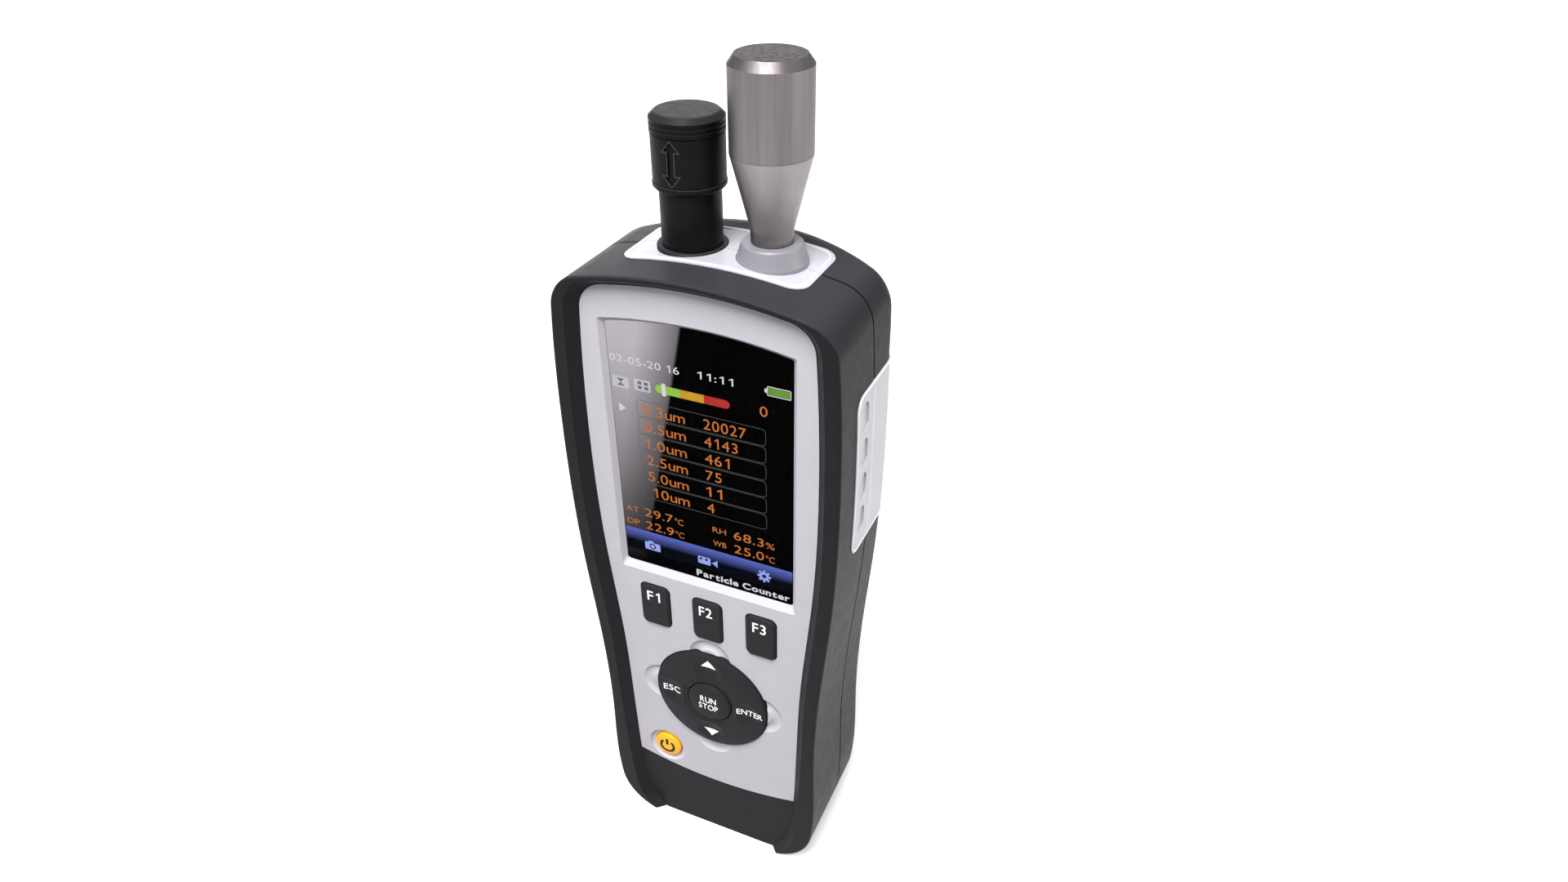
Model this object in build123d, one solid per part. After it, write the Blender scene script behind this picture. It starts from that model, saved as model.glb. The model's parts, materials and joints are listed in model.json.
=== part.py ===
from build123d import *
import math
import os

# Handheld laser particle counter: a two-shell housing with a light faceplate, a sliding
# temperature / humidity probe and a capped metal air inlet on top.
# Frame: +Z up, the display faces -Y, origin under the middle of the base. Millimetres.

os.makedirs("parts", exist_ok=True)

# ------------------------------------------------------------------ housing, driving sizes
FRONT_Y = -23.0            # front plane of the dark rim
PLATE_Y = -20.14           # front of the faceplate and of the chin, inside the rim
SEAM_Y = -1.5              # plane where the shells meet; both probe axes lie in it
BACK_Y = 23.0              # crest of the crowned back
CROWN_R = 70.0             # radius of the crowned back, about a line parallel to Z
BACK_EDGE_R = 8.0          # rounding between the sides and the crowned back
WALL = 2.4                 # shell wall
TOP_Z = 185.6              # crest of the arched top
BASE_FLAT = 16.0           # half-width of the flat that the housing stands on
SIDE = [(32.33, 41.6), (33.47, 71.6), (36.24, 101.6), (37.50, 141.6)]   # (half-width, z)
SIDE_TOP = 36.25           # half-width where the side turns into the top corner
SHOULDER_X = 28.8          # where the top arch turns into the corner
TOP_SAG = 3.2              # fall of the top arch from its crest to the shoulder
CORNER_SLOPE = 1.144       # rise over run of the corner's chord, so that it ends upright
EVEN_SHIFT = 0.22          # how far the shoulder moves in, per millimetre of even inset
RECESS_SHIFT = 0.8         # and in the tighter corners of the front recess
BASE_TURN = (25.0, 2.6)    # end of the gentle rise beside the flat
SIDE_FOOT = (31.72, 13.0)  # end of the bottom corner
SEAM_GAP = 0.6             # groove left open between the shells
GASKET_INSET = 0.7         # how far the gasket sits back in the groove

# ------------------------------------------------------------------ front recess and faceplate
RIM_SIDE = 3.75            # width of the rim's front face at the sides
RIM_TOP = 1.1              # and along the top
PLATE_SIDE = 6.3           # distance from the side of the housing to the faceplate
PLATE_TOP = 3.2            # and from the top
PLATE_LEDGE = 0.2          # narrow dark ledge left round the faceplate
TOE_X, TOE_Z = 26.4, 11.6  # inner edge of the rim where it curls in to its toe
TOE_TIP = (21.0, 1.2)      # end of the toe
TOE_WALL = 2.5             # extra width of the sloping wall beside the toe
PLATE_T = 2.54             # thickness of the front wall and of the faceplate in it
FLANGE_T = 1.2             # flange of the faceplate behind the front wall
FLANGE_LAP, FLANGE_TOP_LAP = 1.6, 0.7
CHIN_MID_Z = 21.3          # lower edge of the faceplate at the middle
CHIN_RISE = 3.0            # and how much higher it is at the sides
CHIN_HALF = 25.0

# ------------------------------------------------------------------ display
WINDOW_HALF = 24.3
WINDOW_Z0, WINDOW_Z1 = 98.9, 170.45
WINDOW_ARCH = 2.4          # rise of the window's upper edge at the middle
WINDOW_Y = -18.8
WINDOW_T = 0.7
WINDOW_LIP = 1.15          # width of the sloping wall around the window
WINDOW_SILL = 0.75         # extra width of that wall below the window
LCD_HALF_X, LCD_HALF_Z = 23.6, 35.2
LCD_Z = 135.2
LCD_Y, LCD_TRAY_Y = -17.2, -15.3        # fronts of the display panel and of its metal tray

# ------------------------------------------------------------------ keys
KEY_XS = (-15.77, 0.0, 15.77)
KEY_Z = 85.9
KEY_W, KEY_H = 8.6, 13.9
KEY_R = 1.7                # corner radius of a key
KEY_EDGE = 0.55            # chamfer round its front
KEY_PROUD = 0.8
KEY_GAP = 0.3              # clearance around a key in its hole
KEY_TRAVEL = 0.8
KEY_FLANGE = 1.0
KEY_FLANGE_LAP = 1.1       # how far the flange reaches out past the key
NAV_Z = 56.28
NAV_R = 17.11
NAV_GAP = 0.34
NAV_BACK_Y = -17.4
DIMPLE_AT, DIMPLE_R, DIMPLE_DEPTH, DIMPLE_Y = 12.4, 4.3, 0.8, -21.85
WEB_R, WEB_BORE, WEB_Y, WEB_T = 11.8, 7.6, -16.6, 1.2
RUN_R = 6.61
RUN_HOLE_R = 6.95
ROD_R = 2.2                # rod of the centre button, above its dome switch
ROD_TIP_Y = -15.6
SCOOP_AT, SCOOP_R = 15.5, 4.7            # ring-shaped thumb hollows beside the pad
SCOOP_HALF, SCOOP_DEPTH = 1.7, 0.65      # half-width and depth of their round groove
POWER_X, POWER_Z = -15.95, 29.55
POWER_R = 4.3
POWER_DISH_R, POWER_FLOOR_R, POWER_DISH_DEPTH = 6.0, 4.6, 1.0
POWER_FLANGE_R = 5.5
MAT_Y = -14.5              # front of the keypad mat
MAT_T = 1.0
DOME_R, DOME_T = 2.4, 0.3
DOME_ROOM = 0.2            # clearance round a dome in the mat
PCB_T = 1.6

# ------------------------------------------------------------------ inlaid panels
PANEL_T = 1.0              # depth of an inlaid panel below the housing's surface
PANEL_PROUD = 0.2
SIDE_PANEL_Z0, SIDE_PANEL_Z1 = 113.8, 159.5
SIDE_PANEL_Y0, SIDE_PANEL_Y1 = -12.7, 17.0
SIDE_PANEL_R = 4.0
SLOT_ZS = (152.6, 142.6, 132.7, 122.7)
SLOT_Y, SLOT_W, SLOT_L, SLOT_DEPTH = -7.3, 4.0, 7.8, 0.5
PANEL_JOINT = 0.24         # fine joint line where a panel crosses the seam
TOP_PANEL_HALF = 23.4
TOP_PANEL_Y0, TOP_PANEL_Y1 = -12.3, 10.7
TOP_PANEL_R = 4.5

# ------------------------------------------------------------------ temperature / humidity probe
TH_X = -9.11
STEM_R, STEM_BORE = 7.23, 5.4
STEM_TOP = 200.0
FLANGE_R, FLANGE_Z0, FLANGE_Z1 = 8.45, 184.6, 186.0
CAGE_R, CAGE_BORE = 6.9, 5.6
SLEEVE_R, SLEEVE_BORE = 8.58, 7.30
SLEEVE_Z0, SLEEVE_Z1 = 199.5, 212.3
SLEEVE_WAIST = 0.12        # how much slimmer the sleeve is above its lower ring
RING_TOP_Z = 201.2
CAP_Z0, CAP_Z1, CAP_CHAMFER = 212.55, 216.95, 1.1
CAP_EDGE_Z = 215.75        # where the cap's chamfer starts
CAP_GROOVE_ZS = (213.65, 214.75)
GROOVE_HALF, GROOVE_DEPTH = 0.16, 0.3
ARROW_TIP, ARROW_NECK, ARROW_HEAD, ARROW_SHAFT = 5.0, 2.75, 1.9, 0.75
ARROW_Z, ARROW_DEPTH = 206.9, 0.7
CAGE_SLOTS, CAGE_SLOT_W = 6, 2.8

# ------------------------------------------------------------------ air inlet
INLET_X = 11.28
COLLAR_Z0, COLLAR_Z1, COLLAR_R0, COLLAR_R1 = 183.6, 189.6, 8.4, 6.84
NECK_R, NECK_Z, NECK_BLEND_R = 4.95, 192.6, 8.0
BELL_R, BELL_Z = 9.31, 210.24
SPIGOT_R, SPIGOT_BORE, SPIGOT_Z = 8.1, 7.0, 222.0
INLET_BORE = 2.6
DUST_CAP_Z1, DUST_CAP_CHAMFER_Z, DUST_CAP_TOP_R = 230.8, 228.83, 7.87
DUST_CAP_BORE = 8.16
CAP_JOINT_GAP = 0.03       # fine joint line between the funnel and its cap

# ------------------------------------------------------------------ back and left side
DOOR_HALF, DOOR_Z0, DOOR_Z1, DOOR_R = 19.0, 26.0, 102.0, 4.0
DOOR_T, DOOR_GAP = 2.0, 0.25
DOOR_SCREW_Z = 96.5
SCREW_HEAD_R, SCREW_SHANK_R = 2.3, 1.25
CASE_SCREWS = ((-22, 14.5), (22, 14.5), (-22, 172.0), (22, 172.0))
TRIPOD_Z, TRIPOD_OUTER_R, TRIPOD_BORE_R, TRIPOD_L = 112.0, 4.6, 2.55, 8.0
CAMERA_Z, CAMERA_R, CAMERA_BEZEL_R = 150.0, 5.2, 8.0
LAMP_X, LAMP_R = 14.0, 2.4
PORT_Y0, PORT_Y1, PORT_Z0, PORT_Z1 = -12.6, -4.2, 52.0, 88.0
PORT_COVER_T = 1.2
PORT_GAP = 0.15
PORT_HINGE_Z = PORT_Z0 + 0.75           # axis of the round bead that the cover turns on
PORT_TAB_Y0, PORT_TAB_Y1 = -10.4, -6.4  # finger tab of the cover
JACK_Z, USB_Z, CARD_Z = 57.6, 68.2, 80.2
JACK_Y, USB_Y, CARD_Y = -8.4, -9.9, -10.6


# ------------------------------------------------------------------ helpers
def write(node, shape):
    """One STEP file per sub-part, named after its node."""
    export_step(shape, f"parts/{node}.step")


def prism(face, y_front, y_back):
    """Solid from a face drawn in front view (x, z), between two depths."""
    return extrude(Plane.XZ.offset(-y_back) * face, amount=y_back - y_front)


def block(x0, x1, y0, y1, z0, z1):
    """Plain box between its limits."""
    return Pos((x0 + x1) / 2, (y0 + y1) / 2, (z0 + z1) / 2) * Box(x1 - x0, y1 - y0, z1 - z0)


def turned(x, y, profile):
    """Solid of revolution about a vertical axis; profile holds (radius, z) points."""
    face = make_face(Polyline(*profile, close=True))
    return Pos(x, y, 0) * revolve(Plane.XZ * face, Axis.Z)


def round_prism(x, z, radius, y_front, y_back):
    """Disc across the depth, centred on (x, z)."""
    return prism(Pos(x, z) * Circle(radius), y_front, y_back)


def dish(x, z, radius, depth, y_surface):
    """Ball whose cut leaves a shallow dish of the given rim radius in a surface facing -Y."""
    ball_r = (radius * radius + depth * depth) / (2 * depth)
    return Pos(x, y_surface + depth - ball_r, z) * Sphere(ball_r)


def bowl(x, z, radius, floor_r, depth):
    """Cutter for a flat-bottomed bowl in the faceplate, whose wall steepens to its rim."""
    floor_y = PLATE_Y + depth
    outside = [(radius, PLATE_Y), (radius, PLATE_Y - 1), (0, PLATE_Y - 1), (0, floor_y), (floor_r, floor_y)]
    wall = TangentArc((floor_r, floor_y), (radius, PLATE_Y), tangent=(1, 0))
    return Pos(x, 0, z) * revolve(make_face([*Polyline(*outside).edges(), wall]), Axis.Y)


def both_sides(right_edges):
    """Closed face from the right half of an outline, mirrored to the left."""
    curve = Curve() + right_edges
    return make_face(curve + mirror(curve, Plane.YZ))


# ------------------------------------------------------------------ outlines in front view
def arch_z(x, drop=0.0):
    """Height of the arched top at x, lowered by drop."""
    return TOP_Z - drop - TOP_SAG * (x / SHOULDER_X) ** 2


def upper_edges(side_inset, top_inset, shoulder_shift):
    """Top arch and top right corner of the housing, or of an outline inside it."""
    shoulder_x = SHOULDER_X - shoulder_shift * side_inset
    shoulder = (shoulder_x, arch_z(shoulder_x, top_inset))
    side_x = SIDE_TOP - side_inset
    corner_end = (side_x, shoulder[1] - CORNER_SLOPE * (side_x - shoulder_x))
    crest = (0, TOP_Z - top_inset)
    whole_arch = ThreePointArc((-shoulder[0], shoulder[1]), crest, shoulder)
    arch = ThreePointArc(crest, whole_arch @ 0.75, shoulder)
    corner = TangentArc(shoulder, corner_end, tangent=whole_arch % 1)
    return arch, corner


def side_points(inset):
    return [(half - inset, z) for half, z in reversed(SIDE)]


def housing_outline(inset=0.0):
    """Whole housing in front view, pulled in evenly by inset."""
    arch, corner = upper_edges(inset, inset, EVEN_SHIFT)
    base_turn = (BASE_TURN[0] - 0.53 * inset, BASE_TURN[1] + 0.85 * inset)
    foot = (SIDE_FOOT[0] - inset, SIDE_FOOT[1] + 0.1 * inset)
    flat = Line((0, inset), (BASE_FLAT, inset))
    rise = TangentArc((BASE_FLAT, inset), base_turn, tangent=(1, 0))
    turn = TangentArc(base_turn, foot, tangent=rise % 1)
    side = Spline(corner @ 1, *side_points(inset), foot, tangents=(corner % 1, -(turn % 1)))
    return both_sides([arch, corner, side, turn, rise, flat])


def recess_outline(side_inset, top_inset, toe_extra):
    """Opening inside the rim: it runs out through the bottom, between the rim's two toes."""
    arch, corner = upper_edges(side_inset, top_inset, RECESS_SHIFT)
    toe = (TOE_X - toe_extra, TOE_Z)
    tip = (TOE_TIP[0] - toe_extra, TOE_TIP[1])
    side = Spline(corner @ 1, *side_points(side_inset), toe)
    curl = TangentArc(toe, tip, tangent=side % 1)
    below = -6.0
    drop = Line(curl @ 1, (tip[0], below))
    base = Line(drop @ 1, (0, below))
    return both_sides([arch, corner, side, curl, drop, base])


def plate_outline(grow=0.0, top_grow=0.0):
    """Faceplate in front view; its lower edge bows down over the chin."""
    arch, corner = upper_edges(PLATE_SIDE - grow, PLATE_TOP - top_grow, RECESS_SHIFT)
    low_x = side_points(PLATE_SIDE - grow)[-1][0] - 0.6
    chin_z = CHIN_MID_Z + CHIN_RISE * (low_x / CHIN_HALF) ** 2 - grow
    side = Spline(corner @ 1, *side_points(PLATE_SIDE - grow), (low_x, chin_z))
    bow = ThreePointArc((-low_x, chin_z), (0, CHIN_MID_Z - grow), (low_x, chin_z))
    half_bow = ThreePointArc((low_x, chin_z), bow @ 0.75, (0, CHIN_MID_Z - grow))
    return both_sides([arch, corner, side, half_bow])


def window_outline(grow=0.0, sill=0.0):
    """Display window in front view: straight sides, arched upper edge, small corner radii."""
    half = WINDOW_HALF + grow
    low, high = WINDOW_Z0 - grow - sill, WINDOW_Z1 + grow
    bottom = Line((-half, low), (half, low))
    right = Line((half, low), (half, high))
    top = ThreePointArc((half, high), (0, high + WINDOW_ARCH), (-half, high))
    left = Line((-half, high), (-half, low))
    return fillet(make_face([bottom, right, top, left]).vertices(), 0.8)


def housing_blank(inset=0.0):
    """Outer form of the housing, pulled in evenly by inset (or grown if it is negative)."""
    body = prism(housing_outline(inset), FRONT_Y + inset, BACK_Y + 2)
    crown = Pos(0, BACK_Y - CROWN_R, TOP_Z / 2) * Cylinder(CROWN_R - inset, 2 * TOP_Z)
    body = body & crown
    back = body.faces().sort_by(Axis.Y)[-1]
    return fillet(back.edges(), BACK_EDGE_R - inset)


# ------------------------------------------------------------------ inlaid panels
def skin(inset):
    """Shell of material from just above the housing's surface down to inset."""
    return housing_blank(-PANEL_PROUD) - housing_blank(inset)


def side_panel_region(sign):
    """Block that cuts one side's panel out of the skin, with rounded corners at the front."""
    width, height = SIDE_PANEL_Y1 - SIDE_PANEL_Y0, SIDE_PANEL_Z1 - SIDE_PANEL_Z0
    centre = ((SIDE_PANEL_Y0 + SIDE_PANEL_Y1) / 2, (SIDE_PANEL_Z0 + SIDE_PANEL_Z1) / 2)
    face = Plane.YZ.offset(26.0) * (Pos(*centre) * RectangleRounded(width, height, SIDE_PANEL_R))
    region = extrude(face, amount=14)
    return region if sign > 0 else mirror(region, Plane.YZ)


def top_panel_region():
    width, depth = 2 * TOP_PANEL_HALF, TOP_PANEL_Y1 - TOP_PANEL_Y0
    face = Pos(0, (TOP_PANEL_Y0 + TOP_PANEL_Y1) / 2) * RectangleRounded(width, depth, TOP_PANEL_R)
    return Pos(0, 0, TOP_Z - 12) * extrude(face, amount=14)


def panel_pocket():
    """Room for every inlaid panel in the two shells."""
    regions = side_panel_region(1) + side_panel_region(-1) + top_panel_region()
    return regions - housing_blank(PANEL_T)


def before_seam(gap):
    return block(-60, 60, -60, SEAM_Y - gap / 2, -10, 260)


def behind_seam(gap):
    return block(-60, 60, SEAM_Y + gap / 2, 60, -10, 260)


def slot_cut(sign, z):
    """Shallow rounded slot pressed into the front strip of a side panel."""
    face = Plane.YZ * (Pos(SLOT_Y, z) * Rot(0, 0, 90) * SlotOverall(SLOT_L, SLOT_W))
    cut = extrude(face, amount=60)
    return cut if sign > 0 else mirror(cut, Plane.YZ)


def make_panels():
    """Light inlays: two on each side and two on top, split where the shells meet."""
    inlay = skin(PANEL_T)
    slots_floor = housing_blank(SLOT_DEPTH - PANEL_PROUD)
    panels = {}
    for side, sign in (("left", -1), ("right", 1)):
        whole = inlay & side_panel_region(sign)
        front = whole & before_seam(PANEL_JOINT)
        for z in SLOT_ZS:
            front = front - (slot_cut(sign, z) - slots_floor)
        panels[f"side_panel_front_{side}"] = front
        panels[f"side_panel_rear_{side}"] = whole & behind_seam(PANEL_JOINT)
    top = inlay & top_panel_region()
    top = top - stem_hole() - inlet_hole()
    panels["top_panel_front"] = top & before_seam(PANEL_JOINT)
    panels["top_panel_rear"] = top & behind_seam(PANEL_JOINT)
    return panels


# ------------------------------------------------------------------ holes in the top
def stem_hole():
    seat = Pos(TH_X, SEAM_Y, (FLANGE_Z0 + 200) / 2) * Cylinder(FLANGE_R, 200 - FLANGE_Z0)
    return seat + Pos(TH_X, SEAM_Y, 180) * Cylinder(STEM_R, 20)


def inlet_hole():
    seat = Pos(INLET_X, SEAM_Y, (COLLAR_Z0 + 200) / 2) * Cylinder(COLLAR_R0, 200 - COLLAR_Z0)
    return seat + Pos(INLET_X, SEAM_Y, 180) * Cylinder(NECK_R, 20)


# ------------------------------------------------------------------ front shell and what it carries
def screw_boss(x, z, y_front, y_back, bore_r):
    return round_prism(x, z, 3.4, y_front, y_back) - round_prism(x, z, bore_r, y_front, y_back)


def make_front_shell():
    y_wall = PLATE_Y + PLATE_T
    blank = housing_blank()
    front_rim = blank.faces().sort_by(Axis.Y)[0]
    shell = fillet(front_rim.edges(), 0.8)
    shell = shell & before_seam(SEAM_GAP)
    floor = recess_outline(PLATE_SIDE - PLATE_LEDGE, PLATE_TOP - PLATE_LEDGE, TOE_WALL)
    mouth = recess_outline(RIM_SIDE, RIM_TOP, 0)
    recess = loft([Plane.XZ.offset(-PLATE_Y) * floor, Plane.XZ.offset(-FRONT_Y) * mouth], ruled=True)
    shell = shell - recess
    cavity = prism(housing_outline(WALL), y_wall, SEAM_Y)
    shell = shell - cavity
    shell = shell - prism(plate_outline(), PLATE_Y - 1, y_wall)
    shell = shell - stem_hole() - inlet_hole()
    for x, z in CASE_SCREWS:
        if z < 100:
            shell = shell + screw_boss(x, z, y_wall, SEAM_Y - SEAM_GAP / 2, SCREW_SHANK_R)
    port_pocket = block(-60, -20, PORT_Y0, PORT_Y1, PORT_Z0, PORT_Z1) - housing_blank(PORT_COVER_T)
    shell = shell - port_pocket
    mouths = ((JACK_Y, JACK_Z, 7.4, 7.4), (USB_Y, USB_Z, 3.1, 8.0), (CARD_Y, CARD_Z, 2.2, 12.8))
    for y, z, wide, tall in mouths:
        shell = shell - block(-60, -20, y - wide / 2, y + wide / 2, z - tall / 2, z + tall / 2)
    return shell - panel_pocket()


def around_pad(reach):
    """Places above, below and beside the rocking pad's centre."""
    return [(dx * reach, NAV_Z + dz * reach) for dx, dz in ((0, 1), (0, -1), (1, 0), (-1, 0))]


def make_faceplate():
    y_back = PLATE_Y + PLATE_T
    plate = prism(plate_outline(), PLATE_Y, y_back)
    plate = plate + prism(plate_outline(FLANGE_LAP, FLANGE_TOP_LAP), y_back, y_back + FLANGE_T)
    plate = plate - prism(window_outline(), PLATE_Y, y_back + FLANGE_T)
    plate = plate - loft([Plane.XZ.offset(-WINDOW_Y) * window_outline(),
                          Plane.XZ.offset(-PLATE_Y) * window_outline(WINDOW_LIP, WINDOW_SILL)], ruled=True)
    for x in KEY_XS:
        plate = plate - prism(Pos(x, KEY_Z) * key_face(KEY_GAP), PLATE_Y - 1, y_back + FLANGE_T)
    plate = plate - round_prism(0, NAV_Z, NAV_R + NAV_GAP, PLATE_Y - 1, y_back + FLANGE_T)
    groove_r = (SCOOP_HALF ** 2 + SCOOP_DEPTH ** 2) / (2 * SCOOP_DEPTH)
    for x, z in around_pad(SCOOP_AT):
        place = Pos(x, PLATE_Y + SCOOP_DEPTH - groove_r, z) * Rot(90, 0, 0)
        plate = plate - place * Torus(SCOOP_R, groove_r)
    plate = plate - bowl(POWER_X, POWER_Z, POWER_DISH_R, POWER_FLOOR_R, POWER_DISH_DEPTH)
    return plate - round_prism(POWER_X, POWER_Z, POWER_R + 0.2, PLATE_Y - 1, y_back + FLANGE_T)


def key_face(grow=0.0):
    """Upright key with round corners, in front view."""
    return RectangleRounded(KEY_W + 2 * grow, KEY_H + 2 * grow, KEY_R + grow)


def make_key(x):
    y_plate_back = PLATE_Y + PLATE_T + FLANGE_T
    y_top = PLATE_Y - KEY_PROUD
    key = prism(Pos(x, KEY_Z) * key_face(), y_top, y_plate_back)
    front = key.faces().sort_by(Axis.Y)[0]
    key = chamfer(front.edges(), KEY_EDGE)
    flange_face = Rectangle(KEY_W + 2 * KEY_FLANGE_LAP, KEY_H + 2 * KEY_FLANGE_LAP)
    flange = prism(Pos(x, KEY_Z) * flange_face, y_plate_back, y_plate_back + KEY_FLANGE)
    return key + flange


def make_nav_pad():
    """Rocking disc: crowned, with a groove round the centre button and four thumb dimples."""
    centre_y = PLATE_Y - 0.66
    profile = [(RUN_HOLE_R, NAV_BACK_Y), (NAV_R, NAV_BACK_Y), (NAV_R, centre_y),
               (NAV_R - 0.5, centre_y - 0.42), (14.4, -21.62), (11.2, -21.95), (8.6, -22.0),
               (8.1, -21.7), (RUN_HOLE_R, -21.5)]
    face = make_face(Polyline(*profile, close=True))
    pad = Pos(0, 0, NAV_Z) * revolve(face, Axis.Y)
    for x, z in around_pad(DIMPLE_AT):
        pad = pad - dish(x, z, DIMPLE_R, DIMPLE_DEPTH, DIMPLE_Y)
    return pad


def make_nav_web():
    """Elastic ring that carries the rocking disc."""
    ring = round_prism(0, NAV_Z, WEB_R, WEB_Y, WEB_Y + WEB_T)
    return ring - round_prism(0, NAV_Z, WEB_BORE, WEB_Y, WEB_Y + WEB_T)


def make_run_button():
    profile = [(0, -22.55), (4.0, -22.45), (6.1, -22.2), (RUN_R, -21.7), (RUN_R, -16.9),
               (ROD_R, -16.9), (ROD_R, ROD_TIP_Y), (0, ROD_TIP_Y)]
    return Pos(0, 0, NAV_Z) * revolve(make_face(Polyline(*profile, close=True)), Axis.Y)


def make_power_button():
    seat = PLATE_Y + PLATE_T + FLANGE_T
    profile = [(0, -20.5), (2.6, -20.45), (3.9, -20.25), (POWER_R, -19.85), (POWER_R, seat),
               (POWER_FLANGE_R, seat), (POWER_FLANGE_R, seat + KEY_FLANGE), (0, seat + KEY_FLANGE)]
    return Pos(POWER_X, 0, POWER_Z) * revolve(make_face(Polyline(*profile, close=True)), Axis.Y)


def dome_places():
    places = [(x, KEY_Z) for x in KEY_XS] + [(0, NAV_Z), (POWER_X, POWER_Z)]
    return places + around_pad(DIMPLE_AT)


def make_keypad_mat():
    mat = prism(Pos(0, 59) * Rectangle(48, 71), MAT_Y, MAT_Y + MAT_T)
    for x, z in dome_places():
        room_y = MAT_Y + MAT_T - DOME_T - DOME_ROOM
        mat = mat - round_prism(x, z, DOME_R + DOME_ROOM, room_y, MAT_Y + MAT_T)
    return mat


def make_key_domes():
    y_back = MAT_Y + MAT_T
    return Compound(children=[round_prism(x, z, DOME_R, y_back - DOME_T, y_back) for x, z in dome_places()])


def make_main_board():
    y_front = MAT_Y + MAT_T
    return prism(Pos(0, 96) * Rectangle(52, 144), y_front, y_front + PCB_T)


def make_lcd():
    """Display panel and the metal tray behind it."""
    face = Pos(0, LCD_Z) * Rectangle(2 * LCD_HALF_X, 2 * LCD_HALF_Z)
    return prism(face, LCD_Y, LCD_TRAY_Y), prism(face, LCD_TRAY_Y, MAT_Y + MAT_T)


# ------------------------------------------------------------------ rear shell and what it carries
def door_face(grow=0.0):
    width, height = 2 * (DOOR_HALF + grow), DOOR_Z1 - DOOR_Z0 + 2 * grow
    return Pos(0, (DOOR_Z0 + DOOR_Z1) / 2) * RectangleRounded(width, height, DOOR_R + grow)


def make_rear_shell():
    blank = housing_blank()
    shell = blank & behind_seam(SEAM_GAP)
    hollow = housing_blank(WALL)
    shell = shell - hollow
    boss_back = BACK_Y - WALL + 1
    for x, z in CASE_SCREWS:
        boss = screw_boss(x, z, SEAM_Y + SEAM_GAP / 2, boss_back, SCREW_SHANK_R)
        if z > 100:
            boss = round_prism(x, z, 3.4, SEAM_Y + SEAM_GAP / 2 + 6, boss_back)
        shell = shell + (boss & blank)
    shell = shell + (round_prism(0, TRIPOD_Z, 7.5, 12.5, BACK_Y) & blank)
    for x, z in CASE_SCREWS:
        shell = shell - round_prism(x, z, SCREW_SHANK_R, SEAM_Y, BACK_Y)
        shell = shell - round_prism(x, z, SCREW_HEAD_R + 0.3, screw_seat_y(x), BACK_Y)
    shell = shell - round_prism(0, TRIPOD_Z, TRIPOD_OUTER_R, BACK_Y - 0.6 - TRIPOD_L, BACK_Y + 1)
    shell = shell - round_prism(0, CAMERA_Z, CAMERA_BEZEL_R, 0, BACK_Y + 1)
    shell = shell - round_prism(LAMP_X, CAMERA_Z, LAMP_R, 0, BACK_Y + 1)
    shell = shell - prism(door_face(DOOR_GAP), 4, BACK_Y + 1)
    door_post = block(-3.4, 3.4, 12.5, BACK_Y - 4.6, DOOR_SCREW_Z - 3.4, TRIPOD_Z - 5)
    shell = shell + door_post - round_prism(0, DOOR_SCREW_Z, SCREW_SHANK_R + 0.06, 12, BACK_Y)
    shell = shell - stem_hole() - inlet_hole()
    return shell - panel_pocket()


def crown_y(x):
    """Depth of the crowned back at x."""
    return BACK_Y - CROWN_R + math.sqrt(CROWN_R ** 2 - x * x)


def screw_seat_y(x):
    return crown_y(x) - 3.6


def make_screw(x, z, seat_y, length):
    """Pan-head screw with a cross recess, head towards +Y."""
    head = round_prism(x, z, SCREW_HEAD_R, seat_y, seat_y + 1.8)
    head = chamfer(head.faces().sort_by(Axis.Y)[-1].edges(), 0.4)
    for wide, tall in ((2.6, 0.6), (0.6, 2.6)):
        head = head - prism(Pos(x, z) * Rectangle(wide, tall), seat_y + 1.0, seat_y + 2)
    return head + round_prism(x, z, SCREW_SHANK_R, seat_y - length, seat_y)


def make_case_screws():
    screws = []
    for x, z in CASE_SCREWS:
        length = screw_seat_y(x) - SEAM_Y + 8 if z < 100 else 4
        screws.append(make_screw(x, z, screw_seat_y(x), length))
    return Compound(children=screws)


def make_battery_door():
    door = (housing_blank() - housing_blank(DOOR_T)) & prism(door_face(), 4, BACK_Y + 1)
    seat_y = BACK_Y - 2.1
    door = door + round_prism(0, DOOR_SCREW_Z, 4.2, seat_y - 1.6, seat_y + 0.4)
    door = door - round_prism(0, DOOR_SCREW_Z, SCREW_HEAD_R + 0.3, seat_y, BACK_Y + 1)
    door = door - round_prism(0, DOOR_SCREW_Z, SCREW_SHANK_R, seat_y - 4, seat_y)
    for step in range(5):
        z = DOOR_Z0 + 7 + 2.6 * step
        groove = block(-9, 9, BACK_Y - 2, BACK_Y + 1, z - 0.6, z + 0.6) - housing_blank(0.6)
        door = door - groove
    screw = make_screw(0, DOOR_SCREW_Z, seat_y, 6)
    return door, screw


def make_battery():
    """Open tray in the housing and the pack that lies in it."""
    tray = block(-DOOR_HALF, DOOR_HALF, 5.6, BACK_Y, DOOR_Z0 + 0.6, DOOR_Z1 - 14)
    tray = tray - block(-DOOR_HALF + 1, DOOR_HALF - 1, 6.6, BACK_Y, DOOR_Z0 + 1.6, DOOR_Z1 - 15)
    tray = tray & housing_blank(WALL + 0.4)
    pack = block(-17.4, 17.4, 6.8, 16.2, DOOR_Z0 + 2.2, DOOR_Z1 - 15.6)
    return tray, fillet(pack.edges().filter_by(Axis.Z), 2.5)


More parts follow.
